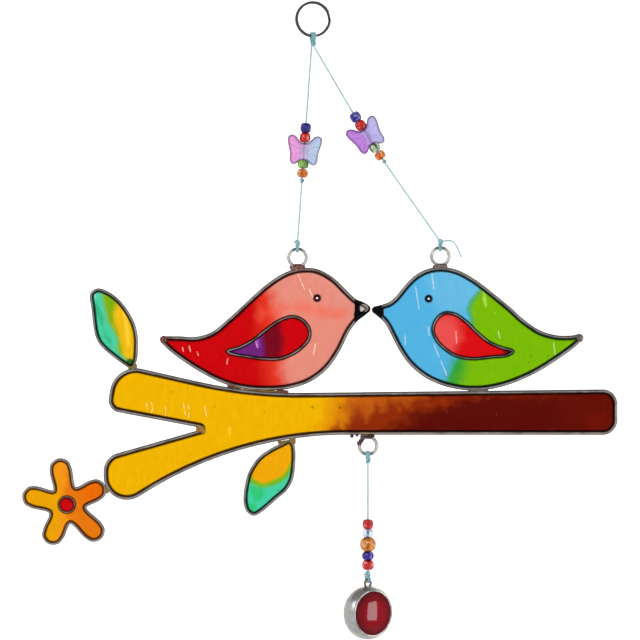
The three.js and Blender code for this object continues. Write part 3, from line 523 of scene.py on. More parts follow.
@dataclass(frozen=True)
class Casting:
    """Resin poured into a wire outline, round the wires that stand inside it.

    Each face is level at `level` and bends to a wire exponentially, to meet it at MEET of its radius. Slow
    waves move both faces, and the ripples add to the front one.
    """

    outer: Wire  # the wire around it
    inner: tuple[Wire, ...] = ()  # wires that it surrounds, each with an opening inside
    level: float = 0.58  # half its thickness away from the wires
    shade: float = 0.32  # how far from a wire the painted shade along its edge reaches
    ripples: tuple[Ripple, ...] = ()  # streaks and dents in the front face
    tints: "tuple[Tint, ...]" = ()  # the second colours, whose depths become marks
    seed: int = 1  # picks the waves
    # keeps only the part on one side of an upright line: (x, 1 to keep the right, -1 the left)
    cut: tuple[float, int] | None = None
    step: float = 0.95  # distance between two points of its face

    def edges(self) -> list[Array]:
        """The casting's own edges, a little way into each wire."""
        outer = even(offset(self.outer.line, EDGE_BITE * self.outer.radius), EDGE_STEP)
        if self.cut:
            outer = even(clipped(outer, *self.cut), EDGE_STEP)
        return [outer] + [even(offset(w.line, -EDGE_BITE * w.radius), EDGE_STEP) for w in self.inner]

    def fine_points(self) -> list[Array]:
        """Close points around each ripple, in rows beside its middle line."""
        found = []
        step, rows, reach = RIPPLE_GRID
        for ripple in self.ripples:
            start, end = sheet([ripple.start, ripple.end])
            length = max(float(np.linalg.norm(end - start)), 1e-6)
            along = (end - start) / length
            stations = np.arange(-2 * ripple.width, length + 2 * ripple.width, step)
            u, v = np.meshgrid(stations, np.linspace(-reach, reach, rows) * ripple.width)
            across = np.array([-along[1], along[0]])
            found.append(start + u.reshape(-1, 1) * along + v.reshape(-1, 1) * across)
        return found

    def skin(self) -> Skin:
        """The skin, with marks "rim" (painted shade along the wires), "ripple" (painted glints, below 0 in a
        dark speck) and the depth in each tint.
        """
        points, triangles = flat_mesh(self.edges(), self.fine_points(), self.step)
        swell, wave = SWELL
        level = self.level * (1 + swell * waves(points, self.seed, wave))
        rim = np.zeros(len(points))
        for wire in (self.outer, *self.inner):
            away = distance_to(points, wire.line)
            bend = np.exp(-np.maximum(away / wire.radius - BEND[0], 0) / BEND[1])
            level = level + (MEET * wire.radius - self.level) * bend
            # the painted shade along each wire's edge
            rim = np.maximum(rim, np.exp(-np.maximum(away - wire.radius, 0.0) / self.shade))
        raised, glint_and_speck = np.zeros(len(points)), np.zeros(len(points))
        for ripple in self.ripples:
            line = sheet([ripple.start, ripple.end])
            swell = np.exp(-((distance_to(points, line, closed=False) / ripple.width) ** 2))
            raised += ripple.height * swell
            # marks where the glints are painted, and the dark specks
            glint_and_speck += np.sign(ripple.height) * swell
        skin = slab(points, triangles, level + raised, level)
        skin.with_mark("rim", np.tile(rim, 2)).with_mark("ripple", np.tile(glint_and_speck, 2))
        for index, tint in enumerate(self.tints):
            skin.with_mark(f"tint_{index}", np.tile(tint.depth(points), 2))
        return skin


def clipped(line: Array, x: float, keep: int) -> Array:
    """The part of a closed line on one side of an upright line, closed along it."""
    after = np.roll(line, -1, 0)
    held, next_held = (line[:, 0] - x) * keep >= 0, (after[:, 0] - x) * keep >= 0
    share = np.where(held != next_held, (x - line[:, 0]) / (after[:, 0] - line[:, 0] + TINY), 0.0)
    crossing = line + share[:, None] * (after - line)
    both = np.stack([line, crossing], 1).reshape(-1, 2)
    wanted = np.stack([held, held != next_held], 1).ravel()
    return both[wanted]


# ---- Colours and finishes

SHEET_STEP = 0.4
SHEET_START = np.array([313.0, 4.15])


def sheet(points: Sequence[Spot] | Array) -> Array:
    """Millimetres of points on the pattern sheet, which is ruled 0.4 mm to the right and down."""
    return (np.asarray(points, float) - SHEET_START) * (SHEET_STEP, -SHEET_STEP)


def shares(thousandths: Sequence[Sequence[float]]) -> Array:
    """Shares from thousandths."""
    return np.array(thousandths) / 1000


def spot_at(spot: Spot) -> Array:
    """Millimetres of one spot of the pattern sheet."""
    return sheet([spot])[0]


def tone(red: float, green: float, blue: float) -> Colour:
    """A colour of 0 to 255 a channel as the shader's linear light: ((c + 0.055) / 1.055) ** 2.4."""
    share = np.array([red, green, blue]) / 255
    light = np.where(share > 0.04045, ((share + 0.055) / 1.055) ** 2.4, share / 12.92)
    return (*light.tolist(), 1.0)


def dot(spot: Spot, width: float = 0.35, height: float = -0.06) -> Ripple:
    """A small dent or dark speck at a spot of the pattern sheet."""
    return Ripple(spot, (spot[0] + 0.2, spot[1]), height, width)


@dataclass(frozen=True)
class Tint:
    """A second colour that runs into a resin."""

    colour: Colour
    spots: tuple[Spot, ...]  # its edge on the pattern sheet, or the middle line of a stroke
    feather: float = 1.2  # how far it fades over its edge
    wander: float = 1.6  # how far clouds push that edge about
    stroke: float = 0.0  # half the width of a stroke, or 0 for a patch
    strength: float = 1.0  # the share of the colour, 0 to 1

    def depth(self, points: Array) -> Array:
        """How deep inside the tint each point lies, in millimetres, and negative outside."""
        line = sheet(self.spots)
        if self.stroke:
            return self.stroke - distance_to(points, line, closed=False)
        return distance_to(points, line) * np.where(inside(points, line), 1.0, -1.0)


PAINT = tone(8, 8, 10)


class Recipe:
    """A material in the making: its nodes, added one by one."""

    def __init__(self, name: str) -> None:
        """Starts an empty material."""
        self.material = bpy.data.materials.new(name)
        self.material.use_nodes = True
        self.tree = self.material.node_tree
        self.tree.nodes.clear()
        self.place = self.add("ShaderNodeTexCoord").outputs["Object"]

    def add(
        self, kind: str, inputs: dict[str | int, object] | None = None, **options: object
    ) -> bpy.types.Node:
        """Adds a node.

        Args:
            kind: its type.
            inputs: sockets to link or values to set, by the input's name or number.
            **options: the node's own settings.

        Returns:
            The node.
        """
        node = self.tree.nodes.new(kind)
        for key, value in options.items():
            setattr(node, key, value)
        for key, value in (inputs or {}).items():
            if isinstance(value, bpy.types.NodeSocket):
                self.tree.links.new(value, node.inputs[key])
            else:
                node.inputs[key].default_value = value
        return node

    def mark(self, name: str) -> Socket:
        """Reads a mark of the mesh."""
        return self.add("ShaderNodeAttribute", attribute_name=name).outputs["Fac"]

    def cloud(self, size: float, detail: float, stretch: Sequence[float] = (1, 1, 1)) -> bpy.types.Node:
        """Smooth noise with spots of a size in millimetres, stretched along the axes."""
        place = self.add("ShaderNodeMapping", {"Vector": self.place, "Scale": [1 / s for s in stretch]})
        inputs = {"Vector": place.outputs[0], "Scale": 1 / (size * MM), "Detail": detail}
        return self.add("ShaderNodeTexNoise", inputs)

    def noise(self, size: float, detail: float = 2.0, stretch: Sequence[float] = (1, 1, 1)) -> Socket:
        """Reads a cloud as one value round 0.5."""
        return self.cloud(size, detail, stretch).outputs["Fac"]

    def cells(self, count: float) -> Socket:
        """Distance from the nearest of scattered points, so many to a metre."""
        return self.add("ShaderNodeTexVoronoi", {"Vector": self.place, "Scale": count}).outputs["Distance"]

    def span(self, value: Socket, low: float, high: float, to: Sequence[float] = (0, 1)) -> Socket:
        """Eases a value from one range to another."""
        limits = {"Value": value, "From Min": low, "From Max": high, "To Min": to[0], "To Max": to[1]}
        return self.add("ShaderNodeMapRange", limits, interpolation_type="SMOOTHSTEP").outputs[0]

    def sum(self, kind: str, first: object, second: object) -> Socket:
        """Joins two values by a Math node of a kind."""
        return self.add("ShaderNodeMath", {0: first, 1: second}, operation=kind).outputs[0]

    def sway(self, value: Socket, noise: Socket, reach: float) -> Socket:
        """Moves a value by noise, over the given reach in all."""
        return self.sum("ADD", value, self.sum("MULTIPLY", self.sum("SUBTRACT", noise, 0.5), reach))

    def mix(self, share: object, first: object, second: object, kind: str = "MIX") -> Socket:
        """Mixes two colours."""
        sockets = {0: share, 6: first, 7: second}
        return self.add("ShaderNodeMix", sockets, data_type="RGBA", blend_type=kind).outputs[2]

    def over(
        self, under: object, colour: object, value: Socket, limits: Spot, most: float = 1.0, kind: str = "MIX"
    ) -> Socket:
        """Lays a colour over another where a value passes from the first limit to the second.

        Args:
            under: the colour below.
            colour: the colour laid over it.
            value: decides where.
            limits: the values at which it starts and is at its most.
            most: its greatest share.
            kind: how the two are mixed.

        Returns:
            The mixed colour.
        """
        return self.mix(self.span(value, *limits, (0, most)), under, colour, kind)

    def bump(self, height: object, depth: float, strength: float = 1.0, under: object = None) -> Socket:
        """Tilts the surface by a height, in millimetres at its full strength."""
        inputs = {"Height": height, "Distance": depth * MM, "Strength": strength}
        if under is not None:
            inputs["Normal"] = under
        return self.add("ShaderNodeBump", inputs).outputs[0]

    def done(self, **inputs: object) -> bpy.types.Material:
        """Closes the recipe with the shader, whose inputs are named with _ for a space."""
        named = {key.replace("_", " "): value for key, value in inputs.items()}
        shader = self.add("ShaderNodeBsdfPrincipled", named)
        self.add("ShaderNodeOutputMaterial", {"Surface": shader.outputs[0]})
        return self.material


@dataclass(frozen=True)
class Finish:
    """What every finish has: a name of its own and a slot of the record."""

    name: str
    slot: str


@dataclass(frozen=True)
class Resin(Finish):
    """Clear tinted resin with clouds, specks, a skin of fine bubbles, painted glints on its ripples, and a
    dark line of painted shade along the wires.
    """

    colour: Colour  # the resin's main colour
    tints: tuple[Tint, ...] = ()  # colours that run into it, in the order that they lie
    clear: float = 0.9  # share of light that passes, 0 to 1

    def material(self) -> bpy.types.Material:
        """Makes the material.

        Returns:
            The material, whose tints are blended over each other at their depths, pushed about by noise.
        """
        recipe = Recipe(self.name)
        broad = recipe.add("ShaderNodeSeparateColor", {0: recipe.cloud(4.5, 4.5).outputs["Color"]}).outputs
        colour = self.colour
        for index, tint in enumerate(self.tints):
            depth = recipe.sway(recipe.mark(f"tint_{index}"), broad[index % 3], 4 * tint.wander)
            fade = (-tint.feather / 2, tint.feather / 2)
            colour = recipe.over(colour, tint.colour, depth, fade, tint.strength)
        shade = recipe.span(recipe.noise(2.2, 3.0, (0.7, 1, 2.6)), 0.34, 0.66)
        streaks = recipe.mix(shade, tone(190, 190, 190), tone(255, 255, 255))
        colour = recipe.mix(0.12, colour, streaks, "MULTIPLY")
        bubble = recipe.span(recipe.cells(420.0), 0.05, 0.14, (0.5, 0.0))
        some = recipe.span(recipe.noise(3.1), 0.56, 0.66)
        colour = recipe.mix(recipe.sum("MULTIPLY", bubble, some), colour, tone(255, 244, 225), "SCREEN")
        fleck = recipe.span(recipe.noise(0.8, 3.0), 0.3, 0.55, (0.35, 1.0))
        # painted glints on the raised ripples, and dark specks in the dents
        glint_and_speck = recipe.sum("MULTIPLY", recipe.mark("ripple"), fleck)
        colour = recipe.over(colour, tone(255, 240, 228), glint_and_speck, (0.15, 0.9), 0.4)
        colour = recipe.over(colour, tone(70, 25, 20), glint_and_speck, (-0.3, -0.8), 0.75, "MULTIPLY")
        # painted shade: a dark line where the resin meets a wire
        colour = recipe.over(colour, tone(84, 62, 54), recipe.mark("rim"), (0.18, 0.85), 0.85, "MULTIPLY")
        fine = recipe.noise(0.9)
        tilt = recipe.bump(fine, 0.02, 0.5, under=recipe.bump(recipe.noise(7.0, 1.0), 0.5, 0.6))
        return recipe.done(
            Base_Color=colour, Roughness=recipe.span(fine, 0.3, 0.7, (0.03, 0.1)), IOR=1.06,
            Transmission_Weight=self.clear, Coat_Weight=0.04, Coat_Roughness=0.03, Normal=tilt,
        )


@dataclass(frozen=True)
class Metal(Finish):
    """Tinned or steel wire: painted lit colour on its front and back, painted shade on its flanks, by a cord
    and where resin meets it, brown where it was heated.
    """

    bright: Colour  # the painted lit colour of its front and back
    shade_colour: Colour  # the painted shade colour of its flanks
    heated: Colour  # the colour at a weld
    resin_edge_shade: Colour = (0.02, 0.012, 0.01, 1.0)  # the painted shade where resin meets it, in the resin's dark tint
    gloss: float = 0.3  # roughness on its front and back

    def material(self) -> bpy.types.Material:
        """Makes the material from the marks "flank" (painted light and shade), "scorch", "coat" (painted
        shade where resin meets it), "paint", the mark of painted shade by a cord, and noise.
        """
        recipe = Recipe(self.name)
        fine, broad = recipe.noise(0.7, 4.0), recipe.noise(5.0, 3.0)
        # painted light and shade: the lit colour on the front and back, the shade colour on the flanks
        flank_shade = recipe.span(recipe.sway(recipe.mark("flank"), broad, 0.9), 0.12, 0.62)
        colour = recipe.mix(flank_shade, self.bright, self.shade_colour)
        patchy = recipe.span(fine, 0.25, 0.6, (0.45, 1.0))
        colour = recipe.mix(recipe.sum("MULTIPLY", recipe.mark("scorch"), patchy), colour, self.heated)
        colour = recipe.over(colour, tone(60, 54, 48), fine, (0.56, 0.7), 0.35)
        # painted shade on a loop where its cord hangs
        colour = recipe.over(colour, tone(46, 48, 52), recipe.mark("tarnish"), (0.15, 0.8), 0.85)
        # painted shade on the wire's side toward the resin, marked "coat"
        shaded_side = recipe.sway(recipe.mark("coat"), broad, 0.7)
        colour = recipe.over(colour, self.resin_edge_shade, shaded_side, (-0.15, 0.25))
        painted = recipe.sway(recipe.mark("paint"), fine, 0.6)
        colour = recipe.over(colour, PAINT, painted, (0.4, 0.6))
        grain = recipe.span(fine, 0.3, 0.7, (0.0, 0.16))
        rough = recipe.sum("ADD", grain, recipe.span(flank_shade, 0, 1, (self.gloss, 0.5)))
        tilt = recipe.bump(fine, 0.05, 0.5, under=recipe.bump(broad, 0.35, 0.4))
        return recipe.done(Base_Color=colour, Metallic=0.92, Roughness=rough, Normal=tilt)


@dataclass(frozen=True)
class Glass(Finish):
    """Coloured glass of a bead, with darker mottles, painted glints, painted shade at its ends and sides and,
    where it has any, stripes.
    """

    colour: Colour
    stripe: Colour = (0.0, 0.0, 0.0, 1.0)  # the colour of the stripes
    stripes: int = 0  # stripes around the bead, or 0
    sparkle: float = 0.0  # strength of the glints from a crazed surface
    clear: float = 0.5  # share of light that passes

    def material(self) -> bpy.types.Material:
        """Makes the material, with stripes read from the mark "turn" and painted shade at its ends and sides
        from its own mark.
        """
        recipe = Recipe(self.name)
        cloud = recipe.noise(1.3, 3.0)
        colour = recipe.over(self.colour, tone(150, 140, 150), cloud, (0.52, 0.36), 0.8, "MULTIPLY")
        # painted shade at the bead's ends and sides
        ends = recipe.mark("shoulder")
        colour = recipe.over(colour, tone(126, 112, 120), ends, (0.2, 0.95), 0.9, "MULTIPLY")
        if self.stripes:
            phase = recipe.sum("MULTIPLY", recipe.mark("turn"), float(self.stripes))
            beat = recipe.sum("PINGPONG", recipe.sum("ADD", phase, 0.25), 0.5)
            colour = recipe.over(colour, self.stripe, beat, (0.28, 0.36))
        # painted glints: near-white patches where the cloud is high
        colour = recipe.over(colour, tone(255, 250, 250), cloud, (0.57, 0.68), 0.42)
        fine = recipe.noise(0.5)
        tilt = recipe.bump(fine, 0.03, 0.4)
        if self.sparkle:
            tilt = recipe.bump(recipe.cells(900.0), 0.5, self.sparkle, under=tilt)
        return recipe.done(
            Base_Color=colour, Roughness=recipe.span(fine, 0.3, 0.7, (0.03, 0.1)), IOR=1.2,
            Transmission_Weight=self.clear, Normal=tilt, Coat_Weight=0.5, Coat_Roughness=0.03,
        )


@dataclass(frozen=True)
class Wing(Finish):
    """Clear moulded acrylic that fades from lilac to pale blue, darker along its edge and its veins."""

    left: Colour
    right: Colour

    def material(self) -> bpy.types.Material:
        """Makes the material from the marks "across", "edge" and "vein"."""
        recipe = Recipe(self.name)
        side = recipe.sway(recipe.mark("across"), recipe.noise(2.4, 3.0), 0.5)
        colour = recipe.mix(recipe.span(side, 0.25, 0.75), self.left, self.right)
        edge, vein = recipe.mark("edge"), recipe.mark("vein")
        colour = recipe.over(colour, tone(112, 92, 124), edge, (0.12, 0.72), 0.9, "MULTIPLY")
        colour = recipe.over(colour, tone(150, 110, 190), vein, (0.2, 1.0), 0.22, "MULTIPLY")
        fine = recipe.noise(0.6)
        return recipe.done(
            Base_Color=colour, Roughness=recipe.span(fine, 0.3, 0.7, (0.05, 0.14)), IOR=1.25,
            Transmission_Weight=0.6, Normal=recipe.bump(fine, 0.04, 0.5), Coat_Weight=0.25,
            Coat_Roughness=0.05,
        )


@dataclass(frozen=True)
class Yarn(Finish):
    """Waxed twisted cord, paler on the strands than between them, where shade is painted."""

    strand: Colour
    groove: Colour

    def material(self) -> bpy.types.Material:
        """Makes the material from the mark "groove" and fine fibres."""
        recipe = Recipe(self.name)
        fibre = recipe.noise(0.16, 3.0, (1, 1, 2.5))
        # painted shade in the grooves between the strands
        colour = recipe.over(self.strand, self.groove, recipe.mark("groove"), (0.15, 0.95))
        colour = recipe.over(colour, tone(225, 236, 236), fibre, (0.4, 0.75), 0.4)
        colour = recipe.over(colour, self.groove, recipe.noise(1.8), (0.35, 0.7), 0.35)
        return recipe.done(
            Base_Color=colour, Roughness=recipe.span(fibre, 0.3, 0.7, (0.5, 0.8)), Sheen_Weight=0.35,
            Normal=recipe.bump(fibre, 0.05, 0.6),
        )


@dataclass(frozen=True)
class Stone(Finish):
    """The polished red cabochon: deep red, darker at its edge, with a glow inside and a hard clear coat."""

    heart: Colour
    edge: Colour

    def material(self) -> bpy.types.Material:
        """Makes the material from the mark "reach", 0 in the middle and 1 at the edge."""
        recipe = Recipe(self.name)
        cloud = recipe.noise(3.5, 3.0)
        reach = recipe.sway(recipe.mark("reach"), cloud, 0.35)
        colour = recipe.over(self.heart, self.edge, reach, (0.45, 1.0))
        colour = recipe.over(colour, tone(134, 2, 22), cloud, (0.5, 0.75), 0.35)
        fine = recipe.noise(1.2)
        return recipe.done(
            Base_Color=colour, Roughness=recipe.span(fine, 0.3, 0.7, (0.08, 0.16)), Specular_IOR_Level=0.0,
            Coat_Weight=0.22, Coat_Roughness=0.04, Normal=recipe.bump(fine, 0.01, 0.3),
            Subsurface_Weight=0.1, Subsurface_Radius=(0.004, 0.0006, 0.0006), Subsurface_Scale=0.3,
        )


PEWTER = Metal("tinned wire", "pewter", tone(134, 130, 126), tone(64, 58, 54), tone(104, 82, 44))
RED_WIRE = replace(PEWTER, name="wire of the red bird", resin_edge_shade=tone(56, 14, 16), heated=tone(102, 54, 50))
BLUE_WIRE = replace(PEWTER, name="wire of the blue bird", resin_edge_shade=tone(18, 32, 44), heated=tone(92, 84, 80))
BRANCH_WIRE = replace(PEWTER, name="wire of the branch", resin_edge_shade=tone(58, 34, 14), heated=tone(142, 102, 26))
LEAF_WIRE = replace(PEWTER, name="wire of the leaves", resin_edge_shade=tone(26, 44, 36), heated=tone(126, 96, 34))
FLOWER_WIRE = replace(PEWTER, name="wire of the flower", resin_edge_shade=tone(92, 54, 26), heated=tone(128, 100, 48))
# painted light and shade: the loops' lit colour is far paler than their shade colour
LOOP_WIRE = Metal(
    "wire of the branch loop", "pewter", tone(182, 178, 174), tone(88, 82, 80), tone(50, 22, 20),
)
DARK_STEEL = Metal(
    "split ring steel", "steel", tone(66, 64, 63), tone(18, 17, 17), tone(60, 56, 52), gloss=0.2,
)
SATIN = Metal("bezel metal", "pewter", tone(156, 155, 153), tone(84, 81, 78), tone(110, 104, 96), gloss=0.2)
CORD = Yarn("cord", "cord", tone(150, 184, 188), tone(70, 104, 110))
KNOT = Yarn("knotted cord", "knot", tone(112, 170, 178), tone(38, 92, 102))
INDIGO = Glass("indigo glass", "blue_glass", tone(44, 30, 158))
RED_GLASS = Glass("red glass", "red_glass", tone(214, 20, 20))
LEAF_GLASS = Glass("green glass", "green_glass", tone(146, 198, 84), tone(40, 100, 34), 1)
STRIPED_GLASS = Glass("striped green glass", "green_glass", tone(205, 226, 190), tone(26, 82, 32), 5)
ORANGE_GLASS = Glass("orange glass", "orange_glass", tone(226, 118, 14))
AMBER = Glass("amber glass", "amber_glass", tone(226, 142, 40), sparkle=0.6)
WATER = Glass("clear glass", "clear_glass", tone(216, 228, 248), clear=0.9)
LILAC = Wing("lilac acrylic", "butterfly", tone(226, 156, 214), tone(182, 200, 226))
VIOLET = Wing("violet acrylic", "butterfly", tone(188, 126, 214), tone(186, 182, 228))
CABOCHON = Stone("cabochon red", "cabochon", tone(122, 0, 16), tone(74, 0, 8))


class Workshop:
    """Turns skins into pieces of the scene and keeps one material a finish."""

    def __init__(self) -> None:
        """Starts with no material."""
        self.materials: dict[str, bpy.types.Material] = {}

    def piece(self, name: str, skin: Skin, finish: Finish, crease: float = 40.0) -> bpy.types.Object:
        """Makes a piece that stands for the node of its name.

        Args:
            name: the CAD node.
            skin: its surface in millimetres.
            finish: its finish.
            crease: angle in degrees above which an edge stays sharp.

        Returns:
            The object.
        """
        if finish.name not in self.materials:
            self.materials[finish.name] = finish.material()
        mesh = bpy.data.meshes.new(f"{name}_finished")
        mesh.from_pydata((skin.points * MM).tolist(), [], skin.faces.tolist())
        for mark, values in skin.marks.items():
            mesh.attributes.new(mark, "FLOAT", "POINT").data.foreach_set("value", values.astype(np.float32))
        mesh.polygons.foreach_set("use_smooth", np.ones(len(mesh.polygons), bool))
        mesh.set_sharp_from_angle(angle=math.radians(crease))
        mesh.materials.append(self.materials[finish.name])
        made = bpy.data.objects.new(f"{name}_finished", mesh)
        bpy.context.collection.objects.link(made)
        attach(made, "root")
        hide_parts(name)
        log.info("%s: %d triangles, %s", name, len(skin.faces), finish.name)
        return made

    def pour(self, name: str, resin: Resin, wire: Wire, inner: tuple[Wire, ...] = (), **rest: object) -> None:
        """Makes the resin that is poured into a wire.

        Args:
            name: the CAD node.
            resin: its finish.
            wire: the wire around it.
            inner: wires that stand in it.
            **rest: the casting's other values.
        """
        self.piece(name, Casting(wire, inner, tints=resin.tints, **rest).skin(), resin)


def box(node: str) -> tuple[Array, Array]:
    """A node's lowest and highest corners in millimetres."""
    low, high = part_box(node)
    return np.array(low) / MM, np.array(high) / MM


def middle(node: str) -> Array:
    """The middle of a node's box in millimetres."""
    low, high = box(node)
    return (low + high) / 2


class Seat(Enum):
    """Which side of a node's box a line is set against."""

    LOW = 0
    MIDDLE = 1
    HIGH = 2


def seated(line: Array, node: str, thickness: float, along: Seat, up: Seat) -> Array:
    """Moves a wire's centreline so that the wire meets the chosen sides of its node's box.

    Args:
        line: the centreline, (x, z).
        node: the node.
        thickness: the wire's thickness.
        along: the side along x.
        up: the side along z.

    Returns:
        The moved line.
    """
    low, high = (corner[[0, 2]] for corner in box(node))
    moves = {
        Seat.LOW: low + thickness / 2 - line.min(0),
        Seat.MIDDLE: (low + high - line.min(0) - line.max(0)) / 2,
        Seat.HIGH: high - thickness / 2 - line.max(0),
    }
    return line + (moves[along][0], moves[up][1])


class ShadedSide(Enum):
    """The side of a wire that is painted dark as the shade where resin meets it."""

    NONE = 0
    INSIDE = 1
    BOTH = 2
    WHOLE = 3


def ring(centre: Sequence[float], outside: float, thickness: float, count: int = 96) -> Wire:
    """A round ring of wire of the given outside size."""
    return Wire(circle(centre, (outside - thickness) / 2, count), thickness)


def solder(welds: Sequence[Weld], seed: int, rough: float) -> list[Skin]:
    """Lumps at spots of the pattern sheet, each with half its sizes and the next seed."""
    return [lump(spot_at(spot), sizes, seed + k, rough) for k, (spot, sizes) in enumerate(welds)]


def wire_skin(
    wire: Wire, welds: Sequence[Array], seed: int, shaded_side: ShadedSide = ShadedSide.NONE, contact: Array | None = None
) -> Skin:
    """A closed round wire in the plane y = 0: radius = half the thickness, uneven by two sizes of waves.

    Args:
        wire: the wire.
        welds: places (x, z) where it was heated.
        seed: picks the waves.
        shaded_side: the side painted dark as the shade where resin meets the wire.
        contact: the place (x, z) where a cord hangs on it, with painted shade round it, or None.

    Returns:
        The skin, with marks "flank" (the square of the sideways share, for painted flank shade), "coat" (that
        share on the resin's side, for painted shade where resin meets it), the painted cord shade and
        "scorch".
    """
    count = WIRE_SECTION
    path = np.insert(wire.line, 1, 0.0, axis=1)
    angle = around(count)
    (high, long), (low, short) = WIRE_WAVES
    uneven = 1 + high * waves(wire.line, seed, long) + low * waves(wire.line, seed + 1, short)
    ahead = np.roll(wire.line, -1, 0) - np.roll(wire.line, 1, 0)
    side = np.column_stack([-ahead[:, 1], np.zeros(len(ahead)), ahead[:, 0]])
    skin = tube(path, wire.radius * np.repeat(uneven[:, None], count, 1), angle, side, closed=True)
    # painted light and shade: flanks darker than front and back; "coat" marks the painted shade on the
    # resin's side
    skin.with_mark("flank", np.tile(np.cos(angle) ** 2, len(path)))
    resin_side_shades = {
        ShadedSide.NONE: 0 * angle - 1,
        ShadedSide.INSIDE: np.cos(angle) + 0.03,
        ShadedSide.BOTH: np.abs(np.cos(angle)) - 0.16,
        ShadedSide.WHOLE: 0 * angle + 1,
    }
    skin.with_mark("coat", np.tile(resin_side_shades[shaded_side], len(path)))
    scorch = np.zeros(len(path))
    for place in welds:
        scorch = np.maximum(scorch, WELD_HEAT[0] * near(wire.line, place, WELD_HEAT[1]))
    # painted shade round the place where a cord hangs
    tarnish = 0 * scorch if contact is None else near(wire.line, contact, CORD_SHADE_REACH)
    skin.with_mark("tarnish", np.repeat(tarnish, count))
    return skin.with_mark("scorch", np.repeat(scorch, count))


def plied(path: Array, side: Array, diameter: float, closed: bool = False, lay: float = 2.1) -> Skin:
    """A cord of three strands: radius(angle) is the outline of three circles that turn with the length.

    Args:
        path: its centreline.
        side: a direction across it at each point.
        diameter: across the strands.
        closed: whether it is a loop.
        lay: length of one whole turn of a strand.

    Returns:
        The skin, with a mark "groove", 1 between two strands, where the finish paints shade.
    """
    angle = around(WIRE_SECTION)
    run = np.concatenate([[0.0], np.cumsum(np.linalg.norm(np.diff(path, axis=0), axis=1))])
    third = 2 * math.pi / STRANDS
    turn = run / lay * 2 * math.pi
    if closed:
        turn = np.linspace(0.0, third * round(turn[-1] / third), len(path), endpoint=False)
    phase = (angle[None] + turn[:, None]) % third - third / 2
    out, strand = STRAND_OUT * diameter, STRAND_SIZE * diameter
    radius = out * np.cos(phase) + np.sqrt(strand**2 - (out * np.sin(phase)) ** 2)
    skin = tube(path, radius, angle, side, closed)
    groove = np.abs(phase).ravel() / (third / 2)
    return skin.with_mark("groove", np.concatenate([groove, np.zeros(len(skin.points) - len(groove))]) ** 3)


def knot_skin(centre: Array, width: float, height: float, cord: float, yaw: float = 0.0) -> Skin:
    """An overhand knot drawn tight: ((a + b cos 3t) cos 2t, (a + b cos 3t) sin 2t, c sin 3t).

    Args:
        centre: its middle.
        width: across it.
        height: its height.
        cord: the cord's thickness in it.
        yaw: degrees that it is turned about the upright axis.

    Returns:
        The skin.
    """
    t = around(150)
    reach = width / 2 - cord / 2
    out = reach * (0.62 + 0.38 * np.cos(3 * t))
    side = np.column_stack([np.cos(2 * t), np.sin(2 * t), np.zeros(len(t))])
    path = out[:, None] * side
    path[:, 2] = (height - cord) / 2 * np.sin(3 * t)
    heart = lump((0, 0), (0.62 * reach, 0.62 * reach, 0.36 * height), 3, 0.15)
    # the knot's core gets most of the painted groove shade
    heart.marks = {"groove": np.full(len(heart.points), 0.8)}
    return joined([plied(path, side, cord, closed=True), heart]).turned(2, yaw).moved(centre)


def hoop(centre: Array, size: tuple[float, float], cord: float, yaw: float = 0.0) -> Skin:
    """Cord round a wire: an ellipse across the wire, (0, a cos t, b sin t), turned about the upright axis."""
    t = around(72)
    path = np.column_stack([0 * t, size[0] * np.cos(t), size[1] * np.sin(t)])
    side = np.tile([1.0, 0.0, 0.0], (len(t), 1))
    return plied(path, side, cord, closed=True).turned(2, yaw).moved(centre)


def along_up(skin: Skin, up: Array) -> Skin:
    """Tilts a skin in the plane of the birds so that its z axis follows a direction (x, z)."""
    x, z = skin.points[:, 0].copy(), skin.points[:, 2].copy()
    skin.points[:, 0] = x * up[1] + z * up[0]
    skin.points[:, 2] = z * up[1] - x * up[0]
    return skin


# ---- Sub-assemblies


